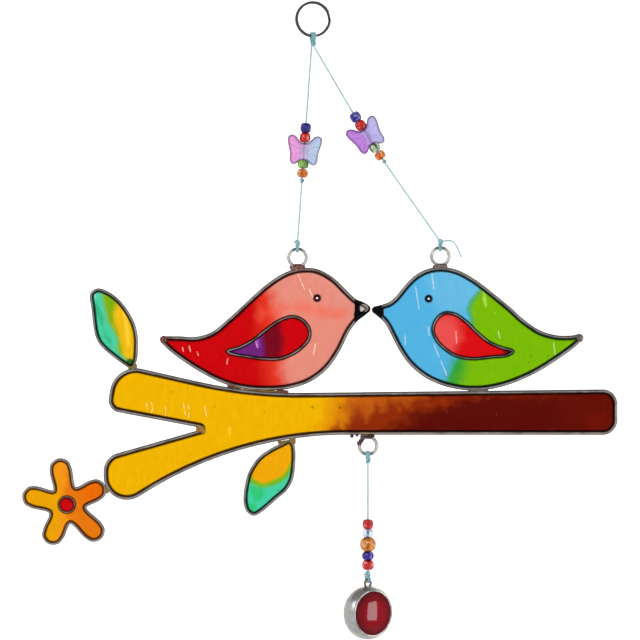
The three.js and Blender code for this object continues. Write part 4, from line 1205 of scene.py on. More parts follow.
@dataclass
class Studio:
    """The camera, the pale bowl that is both floor and backdrop, and the soft lights. Lengths are metres."""

    centre: tuple[float, float] = (0.0028, -0.1263)
    distance: float = 1.2
    field: float = 0.256
    floor: float = -0.52
    reach: float = 2.8
    wall: float = 2.6

    def camera(self) -> None:
        """Sets the camera level with the birds, so far away that the field fills the picture."""
        data = bpy.data.cameras.new("camera")
        data.sensor_width = data.sensor_height = 36.0
        data.angle = 2 * math.atan(self.field / 2 / self.distance)
        data.clip_start, data.clip_end = 0.02, 30.0
        camera = bpy.data.objects.new("camera", data)
        camera.location = (self.centre[0], -self.distance, self.centre[1])
        camera.rotation_euler = (math.pi / 2, 0.0, 0.0)
        bpy.context.collection.objects.link(camera)
        bpy.context.scene.camera = camera

    def backdrop(self) -> None:
        """Turns a floor that curves up into a wall: flat, then a quarter circle, then upright."""
        bend = np.linspace(0.0, math.pi / 2, 24)
        corner = 0.9
        flat = self.reach - corner
        radius = np.concatenate([[0.01, flat / 2], flat + corner * np.sin(bend), [self.reach]])
        height = np.concatenate([[0.0, 0.0], corner * (1 - np.cos(bend)), [self.wall]])
        skin = turned_skin(np.column_stack([radius, height + self.floor]), 96, closed=False)
        faces = skin.faces[(skin.faces < len(skin.points) - 1).all(1)]
        mesh = bpy.data.meshes.new("bowl")
        mesh.from_pydata(skin.points.tolist(), [], faces[:, ::-1].tolist())
        mesh.polygons.foreach_set("use_smooth", np.ones(len(mesh.polygons), bool))
        recipe = Recipe("pale paper")
        fibre = recipe.add("ShaderNodeTexNoise", {"Vector": recipe.place, "Scale": 60.0, "Detail": 4.0})
        colour = recipe.mix(fibre.outputs["Fac"], tone(247, 247, 246), tone(250, 250, 250))
        mesh.materials.append(recipe.done(
            Base_Color=colour, Roughness=0.9, Emission_Color=(1.0, 1.0, 1.0, 1.0), Emission_Strength=0.36,
            Specular_IOR_Level=0.1,
        ))
        bowl = bpy.data.objects.new("bowl", mesh)
        bpy.context.collection.objects.link(bowl)

    def lamp(self, name: str, place: Sequence[float], size: Sequence[float], power: float) -> None:
        """Adds a soft box that looks at the middle of the object."""
        data = bpy.data.lights.new(name, "AREA")
        data.shape, data.size, data.size_y, data.energy = "RECTANGLE", size[0], size[1], power
        lamp = bpy.data.objects.new(name, data)
        lamp.location = place
        aim = Vector((0.01, 0.0, -0.13)) - Vector(place)
        lamp.rotation_euler = aim.to_track_quat("-Z", "Y").to_euler()
        bpy.context.collection.objects.link(lamp)

    def light(self) -> None:
        """Lights the room evenly, with one box up left, one at the right and one behind."""
        world = bpy.data.worlds.new("room")
        world.use_nodes = True
        world.node_tree.nodes["Background"].inputs["Color"].default_value = (1.0, 1.0, 1.0, 1.0)
        world.node_tree.nodes["Background"].inputs["Strength"].default_value = 0.42
        bpy.context.scene.world = world
        self.lamp("upper left box", (-0.75, -0.85, 0.45), (0.45, 0.45), 3.0)
        self.lamp("right window", (0.93, -0.366, -0.30), (0.17, 0.24), 2.4)
        self.lamp("back box", (0.3, 1.1, 0.5), (0.9, 0.5), 1.5)
        view = bpy.context.scene.view_settings
        view.view_transform = "Standard"

    def build(self) -> None:
        """Makes everything but the camera."""
        self.backdrop()
        self.light()


@dataclass
class SplitRing:
    """A split ring: nearly two turns of flat wire side by side, which cross over at the right."""

    outside: float = 14.4  # its outside size
    across: float = 1.0  # the wire's width, seen from the front
    deep: float = 0.85  # the wire's depth
    turns: float = 1.86  # how many turns it makes
    step: float = 0.045  # the share of a turn over which it crosses over
    gap: float = 0.06  # between its turns
    square: float = 5.0  # how square the wire's section is; 2 would be round
    yaw: float = 12.0  # degrees that it is turned about the upright axis

    def build(self, shop: Workshop) -> None:
        """Carries a rounded flat section along a circle that moves back by its depth at half its length."""
        turn = np.linspace(-self.turns / 2, self.turns / 2, 420)
        radius = (self.outside - self.across) / 2
        ease = np.clip(turn / self.step + 0.5, 0, 1)
        back = (self.deep + self.gap) * (3 * ease**2 - 2 * ease**3 - 0.5)
        angle = 2 * math.pi * turn
        path = np.column_stack([radius * np.cos(angle), back, radius * np.sin(angle)])
        out = np.column_stack([np.cos(angle), 0 * angle, np.sin(angle)])
        section = around(28)
        wide = np.abs(np.cos(section) / (self.across / 2)) ** self.square
        deep = np.abs(np.sin(section) / (self.deep / 2)) ** self.square
        flat = (wide + deep) ** (-1 / self.square)
        skin = tube(path, np.repeat(flat[None], len(path), 0), section, out, closed=False)
        # painted shade on the ring's inner and outer edges and at its cut ends
        flank = np.tile(np.abs(np.cos(section)) ** 3 * 0.5, len(path))
        skin.with_mark("flank", np.concatenate([flank, [0.4, 0.4]])).with_mark("coat", -1.0)
        place = (0.0, 0.0, middle("hanging_ring")[2])
        shop.piece("hanging_ring", skin.turned(2, self.yaw).moved(place), DARK_STEEL)


class BeadKind(Enum):
    """The shapes of beads: outside, length, and how square the section is."""

    SEED = (4.4, 3.7, 0.86)
    FLAT = (4.4, 3.2, 0.84)
    DISC = (4.8, 3.2, 0.84)
    THICK_DISC = (4.8, 3.7, 0.86)
    SPACER = (4.3, 3.0, 0.7)
    BARREL = (6.4, 5.6, 0.98)


@dataclass
class Bead:
    """A glass bead on a cord, round, with a bore."""

    node: str  # the CAD node
    kind: BeadKind  # its shape
    finish: Glass  # its glass
    bore: float = 0.62  # half the width of its bore
    turn: float = 0.0  # degrees that it is turned about its cord
    snug: float = 0.24  # how much longer it is than its kind, to meet its neighbours
    lip: float = 0.28  # half the width of the rounded wall at its ends

    def build(self, shop: Workshop, up: Array) -> bpy.types.Object:
        """Turns a rounded square: radius = lip + width * cos^p, height = half length * sin^p.

        Args:
            shop: makes the piece.
            up: the cord's direction at the bead, (x, z).

        Returns:
            The bead.
        """
        outside, length, square = self.kind.value
        length += self.snug
        angle, columns = around(44), 48
        lip = self.bore + self.lip
        wide = np.where(np.cos(angle) > 0, outside / 2 - lip, self.lip)
        radius = lip + wide * np.sign(np.cos(angle)) * np.abs(np.cos(angle)) ** square
        height = length / 2 * np.sign(np.sin(angle)) * np.abs(np.sin(angle)) ** square
        skin = turned_skin(np.column_stack([radius, height]), columns, closed=True).turned(2, self.turn)
        # painted shade: darker towards the bead's ends and towards its sides as seen from the front
        shoulder = np.repeat(np.abs(np.sin(angle)) ** 3, columns)
        skin.with_mark("shoulder", np.maximum(shoulder, np.abs(skin.points[:, 0] / outside * 2) ** 4))
        return shop.piece(self.node, along_up(skin, up).moved(middle(self.node)), self.finish)


@dataclass
class ButterflyBead:
    """A moulded butterfly, pillow-shaped, with a ridged body and veined wings."""

    node: str  # the CAD node
    finish: Wing  # its acrylic
    span: float = 13.6  # across its wings
    thickness: float = 3.6  # from front to back
    # its outline's right half, in thousandths of the span
    half: tuple[Spot, ...] = (
        (0, 240), (100, 250), (190, 340), (290, 440), (410, 465), (500, 390), (500, 250), (460, 90),
        (425, -50), (415, -170), (410, -290), (350, -390), (250, -400), (170, -350), (100, -290), (0, -280),
    )
    # both ends of each vein of that half
    veins: tuple[tuple[Spot, Spot], ...] = (
        ((70, 80), (340, 330)), ((80, 40), (380, 160)), ((80, -30), (300, -270)), ((80, 0), (330, -130)),
    )

    def build(self, shop: Workshop, up: Array) -> bpy.types.Object:
        """Domes each face: height = edge + rise * sqrt(1 - (1 - depth)^2), less the veins, plus the body.

        Args:
            shop: makes the piece.
            up: the cord's direction at the bead, (x, z).

        Returns:
            The bead.
        """
        half = shares(self.half) * self.span
        mirrored = half[1:-1][::-1] * (-1, 1)
        line = closed_curve(np.vstack([half, mirrored]), 0.16)
        veins = [shares(vein) * self.span * (side, 1) for vein in self.veins for side in (1, -1)]
        points, triangles = flat_mesh([line], [lattice(line.min(0), line.max(0), 0.3)], 0.6)
        depth = np.clip(distance_to(points, line) / 2.0, 0, 1)
        beside = np.min([distance_to(points, vein, closed=False) for vein in veins], axis=0)
        groove = np.exp(-((beside / 0.26) ** 2))
        seam = np.exp(-(((np.abs(points[:, 0]) - 1.15) / 0.3) ** 2))
        seam = seam * (np.abs(points[:, 1]) < 0.26 * self.span)
        body = np.exp(-((points[:, 0] / 0.95) ** 4)) * 0.32
        height = self.thickness / 2 * (0.32 + 0.62 * np.sqrt(1 - (1 - depth) ** 2))
        height = height - 0.24 * groove - 0.3 * seam * depth + body * depth - 0.25 * (1 - depth) ** 6
        skin = slab(points, triangles, height, height)
        skin.with_mark("across", np.tile(points[:, 0] / self.span + 0.5, 2))
        skin.with_mark("edge", np.tile(1 - depth, 2) ** 2)
        skin.with_mark("vein", np.tile(np.maximum(groove, 0.7 * seam), 2))
        skin = along_up(skin, up)
        own = (skin.points.min(0) + skin.points.max(0)) / 2
        return shop.piece(self.node, skin.moved(middle(self.node) - own), self.finish, 60.0)


@dataclass
class Knot:
    """A knot, with the loop of cord that holds a wire and the ends that stick out."""

    node: str  # the CAD node
    centre: tuple[float, float]  # its middle
    size: tuple[float, float] = (2.3, 2.9)  # across and high
    held: tuple[float, float] | None = None  # the middle of the wire that it holds, or None
    # half the size of the cord's loop round that wire, from front to back and up
    grip: tuple[float, float] = (1.1, 1.1)
    yaw: float = 0.0  # degrees that it is turned about the upright axis
    hoops: int = 2  # how many turns lie beside each other round the wire
    ends: tuple[tuple[Spot, ...], ...] = ()  # frayed ends, each a list of places (x, z) from its middle
    tight: float = 0.3  # the thickness of the cord in the knot, as a share of its height
    cord: float = 0.72  # the thickness of the cord in a hoop
    beside: float = 0.68  # from one hoop to the next
    frayed: float = 0.6  # the thickness of a frayed end

    def build(self, shop: Workshop) -> bpy.types.Object:
        """Joins the knot, the loop and the ends.

        Args:
            shop: makes the piece.

        Returns:
            The knot.
        """
        own = np.array([self.centre[0], 0.0, self.centre[1]])
        skins = [knot_skin(own, *self.size, self.tight * self.size[1], self.yaw)]
        if self.held:
            held = np.array([self.held[0], 0.0, self.held[1]])
            sides = (np.arange(self.hoops) - (self.hoops - 1) / 2) * self.beside
            skins += [hoop(held + (aside, 0, 0), self.grip, self.cord, self.yaw) for aside in sides]
        for end in self.ends:
            line = open_curve(np.asarray(end, float), 0.12)
            path = np.column_stack([line[:, 0], 0.25 * waves(line, 5, 6.0), line[:, 1]]) + own
            skins.append(plied(path, np.tile([0.0, 1.0, 0.0], (len(path), 1)), self.frayed))
        return shop.piece(self.node, joined(skins), KNOT)


@dataclass
class HangingCord:
    """A waxed cord with its beads and knots."""

    node: str  # the CAD node
    top: tuple[float, float]  # its upper end, (x, z)
    bottom: tuple[float, float]  # its lower end
    sag: float = 0.0  # how far its middle stands aside, to the right seen along the way up
    at: float = 0.5  # the share of its length at which the sag is
    beads: tuple[Bead | ButterflyBead, ...] = ()  # what is threaded on it
    knots: tuple[Knot, ...] = ()  # what ties it
    thickness: float = 0.75  # the cord's
    lay: str = "taut"  # how it hangs
    tuck: float = 0.9  # how far each end goes on into its knot

    def route(self) -> Array:
        """The cord's centreline: a smooth curve through its top, one place between, and its bottom."""
        top, bottom = np.array(self.top), np.array(self.bottom)
        up = (top - bottom) / np.linalg.norm(top - bottom)
        between = top + (bottom - top) * self.at + self.sag * np.array([-up[1], up[0]])
        line = open_curve(np.array([top, between, bottom]), 0.14)
        return np.vstack([line[:1] + self.tuck * up, line, line[-1:] - self.tuck * up])

    def build(self, shop: Workshop) -> None:
        line = self.route()
        path = np.insert(line, 1, 0.0, axis=1)
        side = np.tile([0.0, 1.0, 0.0], (len(path), 1))
        cord = shop.piece(self.node, plied(path, side, self.thickness), CORD)
        pieces = [knot.build(shop) for knot in self.knots]
        for bead in self.beads:
            at = int(np.argmin(np.linalg.norm(path - middle(bead.node), axis=1)))
            ahead = line[max(at - 8, 0)] - line[min(at + 8, len(line) - 1)]
            pieces.append(bead.build(shop, ahead / np.linalg.norm(ahead)))
        length = float(np.linalg.norm(np.diff(path, axis=0), axis=1).sum()) * MM
        log.info("%s: %.1f mm long, %.2f mm thick", self.node, length / MM, self.thickness)


LOOP_OUTSIDE = 8.2  # outside size of the three hanging loops
LOOP_THICK = 1.18  # their wire


@dataclass
class Bird:
    """A bird: an outline filled with resin, a wing in its own wire, an eye ring, a black beak and a loop."""

    name: str  # red_bird or blue_bird
    facing: int  # -1 for a bird whose tail is to the left, 1 to the right
    length: float  # from beak to tail
    outline: tuple[Spot, ...]  # (along, up) from the beak, in thousandths of the length
    wing_length: float  # the wing's
    wing: tuple[Spot, ...]  # (along, up) from its tip, in thousandths of its length
    body: Resin  # the resin of the body
    wing_resin: Resin  # the resin of the wing
    beak: Resin  # the black of the beak
    ripples: tuple[Ripple, ...]  # streaks in the body
    wing_ripples: tuple[Ripple, ...]  # streaks in the wing
    branch_welds: tuple[Weld, ...]  # the solder at the branch: place, and half its width, depth and height
    loop_weld: tuple[float, float, float]  # half sizes of the solder under the loop
    seed: int  # picks the waves
    metal: Metal  # the finish of its wires
    paint_from: float  # where the black of the beak begins on the wire, on the pattern sheet
    glint: Spot = (0.0, 0.0)  # where the beak has a painted highlight: the wire there shows its metal, with no black or painted shade
    wire: float = 1.8  # the outline's thickness, and so on for the other wires
    wing_wire: float = 1.25
    eye_wire: float = 1.1
    eye_inset: float = 0.12  # how much further in than its node the eye's ring lies
    seam_lap: float = 0.02  # how far the body's resin goes past the seam of the beak
    paint_fade: float = 0.8  # over how much of the wire the black ends
    glint_reach: float = 1.4  # how far round the glint the painted highlight reaches on the wire

    def body_wire(self) -> Wire:
        """The bird's outline, seated on its node."""
        shape = shares(self.outline) * (self.facing * self.length, self.length)
        node = f"{self.name}_outline"
        return Wire(seated(closed_curve(shape, 0.42), node, self.wire, Seat.MIDDLE, Seat.HIGH), self.wire)

    def wing_line(self) -> Wire:
        """The wing's outline, seated on its node."""
        shape = shares(self.wing) * (-self.facing * self.wing_length, self.wing_length)
        node = f"{self.name}_wing_outline"
        line = seated(closed_curve(shape, 0.36), node, self.wing_wire, Seat.MIDDLE, Seat.MIDDLE)
        return Wire(line, self.wing_wire)

    def eye_ring(self) -> Wire:
        """The eye's ring, in the middle of its node's box."""
        low, high = box(f"{self.name}_eye")
        size = high[0] - low[0] - 2 * self.eye_inset
        return ring(((low + high) / 2)[[0, 2]], size, self.eye_wire, 48)

    def loop(self) -> tuple[Skin, Array]:
        """The loop on the bird's back with its solder, and its foot (x, z)."""
        low, high = box(f"{self.name}_loop")
        crown = np.array([(low[0] + high[0]) / 2, high[2]])
        foot = crown - (0.0, LOOP_OUTSIDE)
        wire = wire_skin(
            ring(crown - (0.0, LOOP_OUTSIDE / 2), LOOP_OUTSIDE, LOOP_THICK), [foot], self.seed + 4,
            contact=crown,
        )
        return joined([wire, lump(foot + (0.0, 0.1), self.loop_weld, self.seed + 5, 0.14)]), foot

    def outline_skin(self, body: Wire, loop_foot: Array) -> Skin:
        """The outline with its solder, black at the beak but for its painted highlight.

        Args:
            body: the outline.
            loop_foot: where the loop is welded on, (x, z).

        Returns:
            The skin, with a mark "paint".
        """
        welds = [spot_at(place) for place, _ in self.branch_welds] + [loop_foot]
        wire = wire_skin(body, welds, self.seed, ShadedSide.INSIDE)
        past = (spot_at((self.paint_from, 0.0))[0] - wire.points[:, 0]) * self.facing
        # painted highlight: the black and the painted resin shade are taken off the wire round the glint
        glint_spot = near(wire.points[:, [0, 2]], spot_at(self.glint), self.glint_reach)
        wire.with_mark("paint", np.clip(past / self.paint_fade + 0.5, 0, 1) - 1.7 * glint_spot)
        wire.with_mark("coat", wire.marks["coat"] - 2.2 * glint_spot)
        return joined([wire, *solder(self.branch_welds, self.seed, 0.16)])

    def build(self, shop: Workshop) -> None:
        """Makes the bird's seven pieces."""
        name, seed = self.name, self.seed
        body, wing, eye = self.body_wire(), self.wing_line(), self.eye_ring()
        loop, foot = self.loop()
        shop.piece(f"{name}_outline", self.outline_skin(body, foot), self.metal)
        shop.piece(f"{name}_wing_outline", wire_skin(wing, [], seed + 2, ShadedSide.BOTH), self.metal)
        shop.piece(f"{name}_eye", wire_skin(eye, [], seed + 3, ShadedSide.WHOLE), self.metal)
        # the loop keeps the bird's wire but takes the loops' painted lit and shade colours
        shine = {"bright": LOOP_WIRE.bright, "shade_colour": LOOP_WIRE.shade_colour}
        shop.piece(f"{name}_loop", loop, replace(self.metal, name=f"{self.metal.name}'s loop", **shine))
        side = 0 if self.facing < 0 else 1
        seam = (box(f"{name}_beak")[side][0] + box(f"{name}_resin")[1 - side][0]) / 2
        cut = (seam - self.seam_lap * self.facing, self.facing)
        shop.pour(f"{name}_resin", self.body, body, (wing, eye), ripples=self.ripples, seed=seed, cut=cut)
        shop.pour(f"{name}_beak", self.beak, body, seed=seed + 7, cut=(seam, -self.facing), step=0.6)
        shop.pour(f"{name}_wing_resin", self.wing_resin, wing, ripples=self.wing_ripples, seed=seed + 8)


@dataclass
class Branch:
    """The forked branch that everything is welded to, with the loop that carries the drop."""

    resin: Resin  # its resin
    ripples: tuple[Ripple, ...]  # streaks in it
    length: float = 203.7  # of the branch
    wire: float = 1.8  # its thickness
    fork: Spot = (200.8, 429.2)  # the spot of the fork's crotch on the pattern sheet
    foot: Spot = (367.0, 436.0)  # the spot where the loop is welded on
    # drops of solder by the loop: spot and half the size
    blobs: tuple[tuple[Spot, float], ...] = (
        ((351.9, 436.0), 0.7), ((357, 435.2), 0.55), ((362.6, 438.3), 0.95), ((361.0, 440.7), 0.9),
        ((359.4, 443.4), 1.0),
    )
    # solder between the branch and the red bird: spot and half the length
    bridges: tuple[tuple[Spot, float], ...] = (
        ((240, 387.5), 2.4), ((250, 389.4), 2.8), ((261, 390.8), 2.8), ((271, 391.5), 2.6),
    )
    # (along, up, radius) of each corner, in thousandths of the length
    bends: tuple[tuple[float, float, float], ...] = (
        (0, 0, 24.5), (-716, -8.2, 940), (-978.6, 51, 47), (-993.5, -32.8, 20.2), (-787.4, -71.7, 6.7),
        (-1000, -132.3, 32.6), (-1000, -240.7, 41.2), (-738.7, -80.5, 750), (-0.4, -80.7, 24.5),
    )

    def build(self, shop: Workshop) -> None:
        """Makes the branch, its resin and its loop."""
        line = bent_line(shares(self.bends), self.length, 0.45)
        wire = Wire(seated(line, "branch_outline", self.wire, Seat.MIDDLE, Seat.MIDDLE), self.wire)
        fork, foot = spot_at(self.fork), spot_at(self.foot)
        skins = [wire_skin(wire, [fork, foot], 40, ShadedSide.INSIDE), lump(fork, (2.0, 1.02, 2.1), 41, 0.16)]
        skins += solder([(spot, (half, 0.5, 0.5)) for spot, half in self.bridges], 50, 0.2)
        shop.piece("branch_outline", joined(skins), BRANCH_WIRE)
        shop.pour("branch_resin", self.resin, wire, ripples=self.ripples, seed=43, step=0.9)
        low, high = box("branch_loop")
        bottom = np.array([(low[0] + high[0]) / 2, low[2]])
        loop = ring(bottom + (0, LOOP_OUTSIDE / 2), LOOP_OUTSIDE, LOOP_THICK)
        skins = [wire_skin(loop, [bottom + (0, LOOP_OUTSIDE)], 44, contact=bottom)]
        skins.append(lump(foot, (3.0, 0.85, 1.15), 45, 0.2))
        skins += solder([(spot, (half, 0.85 * half, half)) for spot, half in self.blobs], 46, 0.14)
        shop.piece("branch_loop", joined(skins), LOOP_WIRE)


@dataclass
class Leaf:
    """A leaf: a wire outline filled with resin in two colours that meet along a seam."""

    name: str  # upper_leaf or lower_leaf
    length: float  # from its foot to its tip
    outline: tuple[Spot, ...]  # (along, up) from the foot, in thousandths of the length
    up: Seat  # the side of its node's box that it is set against
    resin: Resin  # its resin
    ripples: tuple[Ripple, ...]  # streaks and dents in it
    welds: tuple[Weld, ...]  # the solder at its foot
    seed: int  # picks the waves
    wire: float = 1.5  # its thickness

    def build(self, shop: Workshop) -> None:
        """Makes the outline with its solder, and the resin."""
        shape = shares(self.outline) * self.length
        node = f"{self.name}_outline"
        wire = Wire(seated(closed_curve(shape, 0.38), node, self.wire, Seat.MIDDLE, self.up), self.wire)
        skin = wire_skin(wire, [spot_at(place) for place, _ in self.welds], self.seed, ShadedSide.INSIDE)
        shop.piece(node, joined([skin, *solder(self.welds, self.seed, 0.18)]), LEAF_WIRE)
        resin = f"{self.name}_resin"
        shop.pour(resin, self.resin, wire, ripples=self.ripples, seed=self.seed + 3, step=0.8)


@dataclass
class Flower:
    """A flower of five round petals bent from one wire, with a small ring of its own in the middle."""

    resin: Resin  # the petals' resin
    heart: Resin  # the resin in the ring
    # (direction in degrees, share of the radius) of each petal's round end
    petals: tuple[Spot, ...] = ((26.6, 0.93), (100.1, 1.05), (167.3, 1.01), (245, 0.95), (315.6, 1.1))
    radius: float = 13.6  # how far out the middle of such an end lies
    petal_radius: float = 3.8  # an end's radius
    notch_radius: float = 7.2  # how far out the wire passes between two petals
    tips: tuple[float, ...] = (-95, -50, 0, 50, 95)  # the directions round an end at which the wire passes
    wire: float = 1.4  # its thickness
    ring_wire: float = 0.85  # the thickness of the ring
    ring_outside: float = 7.1  # the ring's outside size
    weld: Spot = (107.4, 487.0)  # the spot on the pattern sheet where it meets the branch

    def outline(self) -> Array:
        """The curve through the petals' ends: polar(direction, reach) + polar(direction + tip, radius)."""
        heading, reach = np.array(self.petals).T
        tips = np.radians(heading[:, None] + np.array(self.tips))
        base = np.radians(heading)[:, None]
        x = reach[:, None] * self.radius * np.cos(base) + self.petal_radius * np.cos(tips)
        z = reach[:, None] * self.radius * np.sin(base) + self.petal_radius * np.sin(tips)
        between = np.radians((heading + np.append(heading[1:], heading[0] + 360)) / 2)[:, None]
        x = np.hstack([x, self.notch_radius * np.cos(between)])
        z = np.hstack([z, self.notch_radius * np.sin(between)])
        return np.column_stack([x.ravel(), z.ravel()])

    def build(self, shop: Workshop) -> None:
        """Makes the outline, the ring and both resins."""
        line = seated(closed_curve(self.outline(), 0.34), "flower_outline", self.wire, Seat.LOW, Seat.MIDDLE)
        wire = Wire(line, self.wire)
        eye = ring(middle("flower_centre_ring")[[0, 2]], self.ring_outside, self.ring_wire, 90)
        weld = spot_at(self.weld)
        skins = [wire_skin(wire, [weld], 60, ShadedSide.INSIDE), lump(weld, (0.95, 0.8, 2.5), 61, 0.12)]
        shop.piece("flower_outline", joined(skins), FLOWER_WIRE)
        shop.piece("flower_centre_ring", wire_skin(eye, [], 62, ShadedSide.BOTH), FLOWER_WIRE)
        shop.pour("flower_resin", self.resin, wire, (eye,), seed=63, step=0.75)
        shop.pour("flower_centre_resin", self.heart, eye, seed=64, step=0.5)


@dataclass
class Drop:
    """The drop: a bulged metal band round a red stone that is domed on both sides, and a small loop."""

    belly: float = 21.4  # the band's width at its middle
    edge: float = 18.6  # its width at its lips
    depth: float = 7.6  # its depth
    wall: float = 0.6  # its thickness
    stone: float = 17.6  # the stone's width
    stone_depth: float = 7.4  # its depth where the domes begin
    dome: float = 1.3  # a dome's height
    loop_outside: float = 3.8  # the loop's outside size
    loop_wire: float = 0.9  # its thickness
    yaw: float = 35.0  # degrees that the drop is turned to the right

    def band(self) -> Skin:
        """Turns the band: its radius is edge + (belly - edge) * (1 - |h|^2.2), with rolled lips."""
        height = np.linspace(-1, 1, 34) * (self.depth / 2 - 0.25)
        share = np.abs(height) / (self.depth / 2)
        outer = self.edge / 2 + (self.belly - self.edge) / 2 * (1 - share**2.2)
        roll = np.linspace(0.0, math.pi, 10)[1:-1]
        lip = self.edge / 2 - self.wall / 2 + 0.36 * np.cos(roll)
        top = np.column_stack([lip, self.depth / 2 - 0.28 + 0.28 * np.sin(roll)])
        inner = np.column_stack([outer[::-1] - self.wall, height[::-1]])
        inner[:, 0] = np.minimum(inner[:, 0], self.edge / 2 - 0.1)
        bottom = top[::-1] * (1, -1)
        profile = np.vstack([np.column_stack([outer, height]), top, inner, bottom])
        skin = turned_skin(profile, 128, closed=True)
        # painted shade: a little on the band's outer face, more on its lips and inside
        flank = np.where(np.arange(len(profile)) < len(outer), 0.12, 0.3)
        return skin.with_mark("flank", np.repeat(flank, 128)).with_mark("coat", -1.0)

    def gem(self) -> Skin:
        """Turns the stone: height = half depth + dome * sqrt(1 - (r / radius)^2), rounded at its edge."""
        reach = np.linspace(0.02, 1.0, 30)
        radius = self.stone / 2 * reach
        height = self.stone_depth / 2 - 0.25 + self.dome * np.sqrt(1 - 0.98 * reach**2)
        side = np.column_stack([[self.stone / 2 + 0.15], [self.stone_depth / 2 - 0.6]])
        upper = np.vstack([np.column_stack([radius, height]), side])
        profile = np.vstack([upper, upper[::-1] * (1, -1)])[::-1]
        skin = turned_skin(profile, 96, closed=False)
        return skin.with_mark("reach", np.linalg.norm(skin.points[:, :2], axis=1) / (self.stone / 2))

    def build(self, shop: Workshop) -> None:
        """Makes the band, the stone and the loop, turned to face the front right."""
        centre = middle("drop_bezel")
        for node, skin, finish in (("drop_bezel", self.band(), SATIN), ("drop_resin", self.gem(), CABOCHON)):
            shop.piece(node, skin.turned(0, 90).turned(2, self.yaw).moved(centre), finish, 50.0)
        low, high = box("drop_loop")
        loop = ring((0.0, 0.0), self.loop_outside, self.loop_wire, 64)
        foot = loop.line[np.argmin(loop.line[:, 1])]
        place = ((low[0] + high[0]) / 2, 0.0, high[2] - self.loop_outside / 2)
        shop.piece("drop_loop", wire_skin(loop, [foot], 70).turned(2, self.yaw).moved(place), PEWTER)


# ---- This suncatcher

RED_BORDER = ((190, 240), (236, 284), (254, 293), (256, 315), (257, 345), (262, 375), (268, 405))


def right_of(border: Sequence[Spot], shift: float) -> tuple[Spot, ...]:
    """A patch from a border, moved to the right, to the far right of the sheet."""
    return tuple((u + shift, v) for u, v in border) + ((640.0, border[-1][1]), (640.0, border[0][1]))


RED_BODY = Resin(
    "red bird resin", "red_bird_resin", tone(191, 2, 7),
    (
        Tint(tone(214, 46, 28), right_of(RED_BORDER, 3), 8.5, 1.6),
        Tint(
            tone(217, 135, 119),
            (
                (190, 220), (244, 262), (262, 282), (272, 296), (279, 312), (280, 345), (283, 375),
                (289, 405), (640, 405), (640, 220),
            ),
            9.5, 1.8,
        ),
        Tint(tone(232, 98, 74), ((262, 314), (290, 306), (340, 314)), 6.0, 1.6, stroke=1.6, strength=0.6),
        Tint(tone(214, 150, 140), ((300, 262), (335, 282), (345, 300)), 6.0, stroke=1.6, strength=0.5),
        Tint(
            PAINT,
            ((353.2, 290), (353.8, 302), (355.6, 308), (353.8, 314), (355.4, 326), (400, 325), (400, 292)),
            0.3, 0.2,
        ),
    ),
)
RED_WING = Resin(
    "red wing resin", "red_wing_resin", tone(191, 1, 10),
    (
        Tint(tone(114, 4, 24), ((222, 322), (279, 318), (283, 340), (280, 366), (222, 366)), 4.2, 0.9),
        Tint(
            tone(106, 34, 118), ((222, 340), (246, 334), (262, 334), (264, 348), (262, 364), (222, 364)),
            3.4, 0.8,
        ),
        # a painted highlight: a stroke of brighter violet glints
        Tint(tone(164, 70, 190), ((257, 338), (258, 346)), 1.2, 0.4, stroke=0.6, strength=0.7),
    ),
)
RED_BEAK = Resin(
    "red bird's black beak", "black_resin", PAINT,
    # a pale patch painted on the black beak as a highlight at its tip
    (Tint(tone(206, 196, 190), ((360.6, 305), (368, 305.4), (367.6, 311), (360.4, 311)), 0.6, 0.5),),
    clear=0.5,
)
BLUE_BODY = Resin(
    "blue bird resin", "blue_bird_resin", tone(79, 170, 213),
    (
        Tint(tone(98, 177, 214), ((425, 262), (500, 255), (484, 300), (455, 318), (430, 300)), 8.0, 1.2),
        Tint(
            tone(60, 160, 92),
            (
                (494, 262), (480, 288), (470, 300), (467, 309), (470, 319), (467, 340), (456, 362),
                (447, 380), (440, 412), (620, 412), (620, 262),
            ),
            2.0, 0.4,
        ),
        Tint(
            tone(116, 176, 3),
            (
                (498, 262), (483, 289), (473, 301), (470, 309), (473, 319), (473, 340), (464, 358),
                (456, 374), (448, 412), (620, 412), (620, 262),
            ),
            3.6, 0.6,
        ),
        Tint(
            tone(48, 152, 44), ((452, 360), (464, 358), (466, 368), (458, 390), (446, 390)), 7.0, 0.6,
            strength=0.9,
        ),
        Tint(tone(192, 222, 96), ((483.5, 292), (485.8, 306)), 1.0, 0.4, stroke=0.5, strength=0.6),
    ),
)
BLUE_WING = Resin(
    "blue bird's wing resin", "blue_wing_resin", tone(204, 9, 15),
    (
        Tint(tone(219, 76, 74), ((425, 316), (454, 316), (462, 338), (450, 356), (425, 356)), 6.0, 1.0),
        Tint(tone(112, 6, 12), ((503, 346), (514, 346), (514, 356), (505, 355)), 1.6, 0.5),
    ),
)
BLUE_BEAK = Resin("blue bird's black beak", "black_resin", PAINT, clear=0.0)
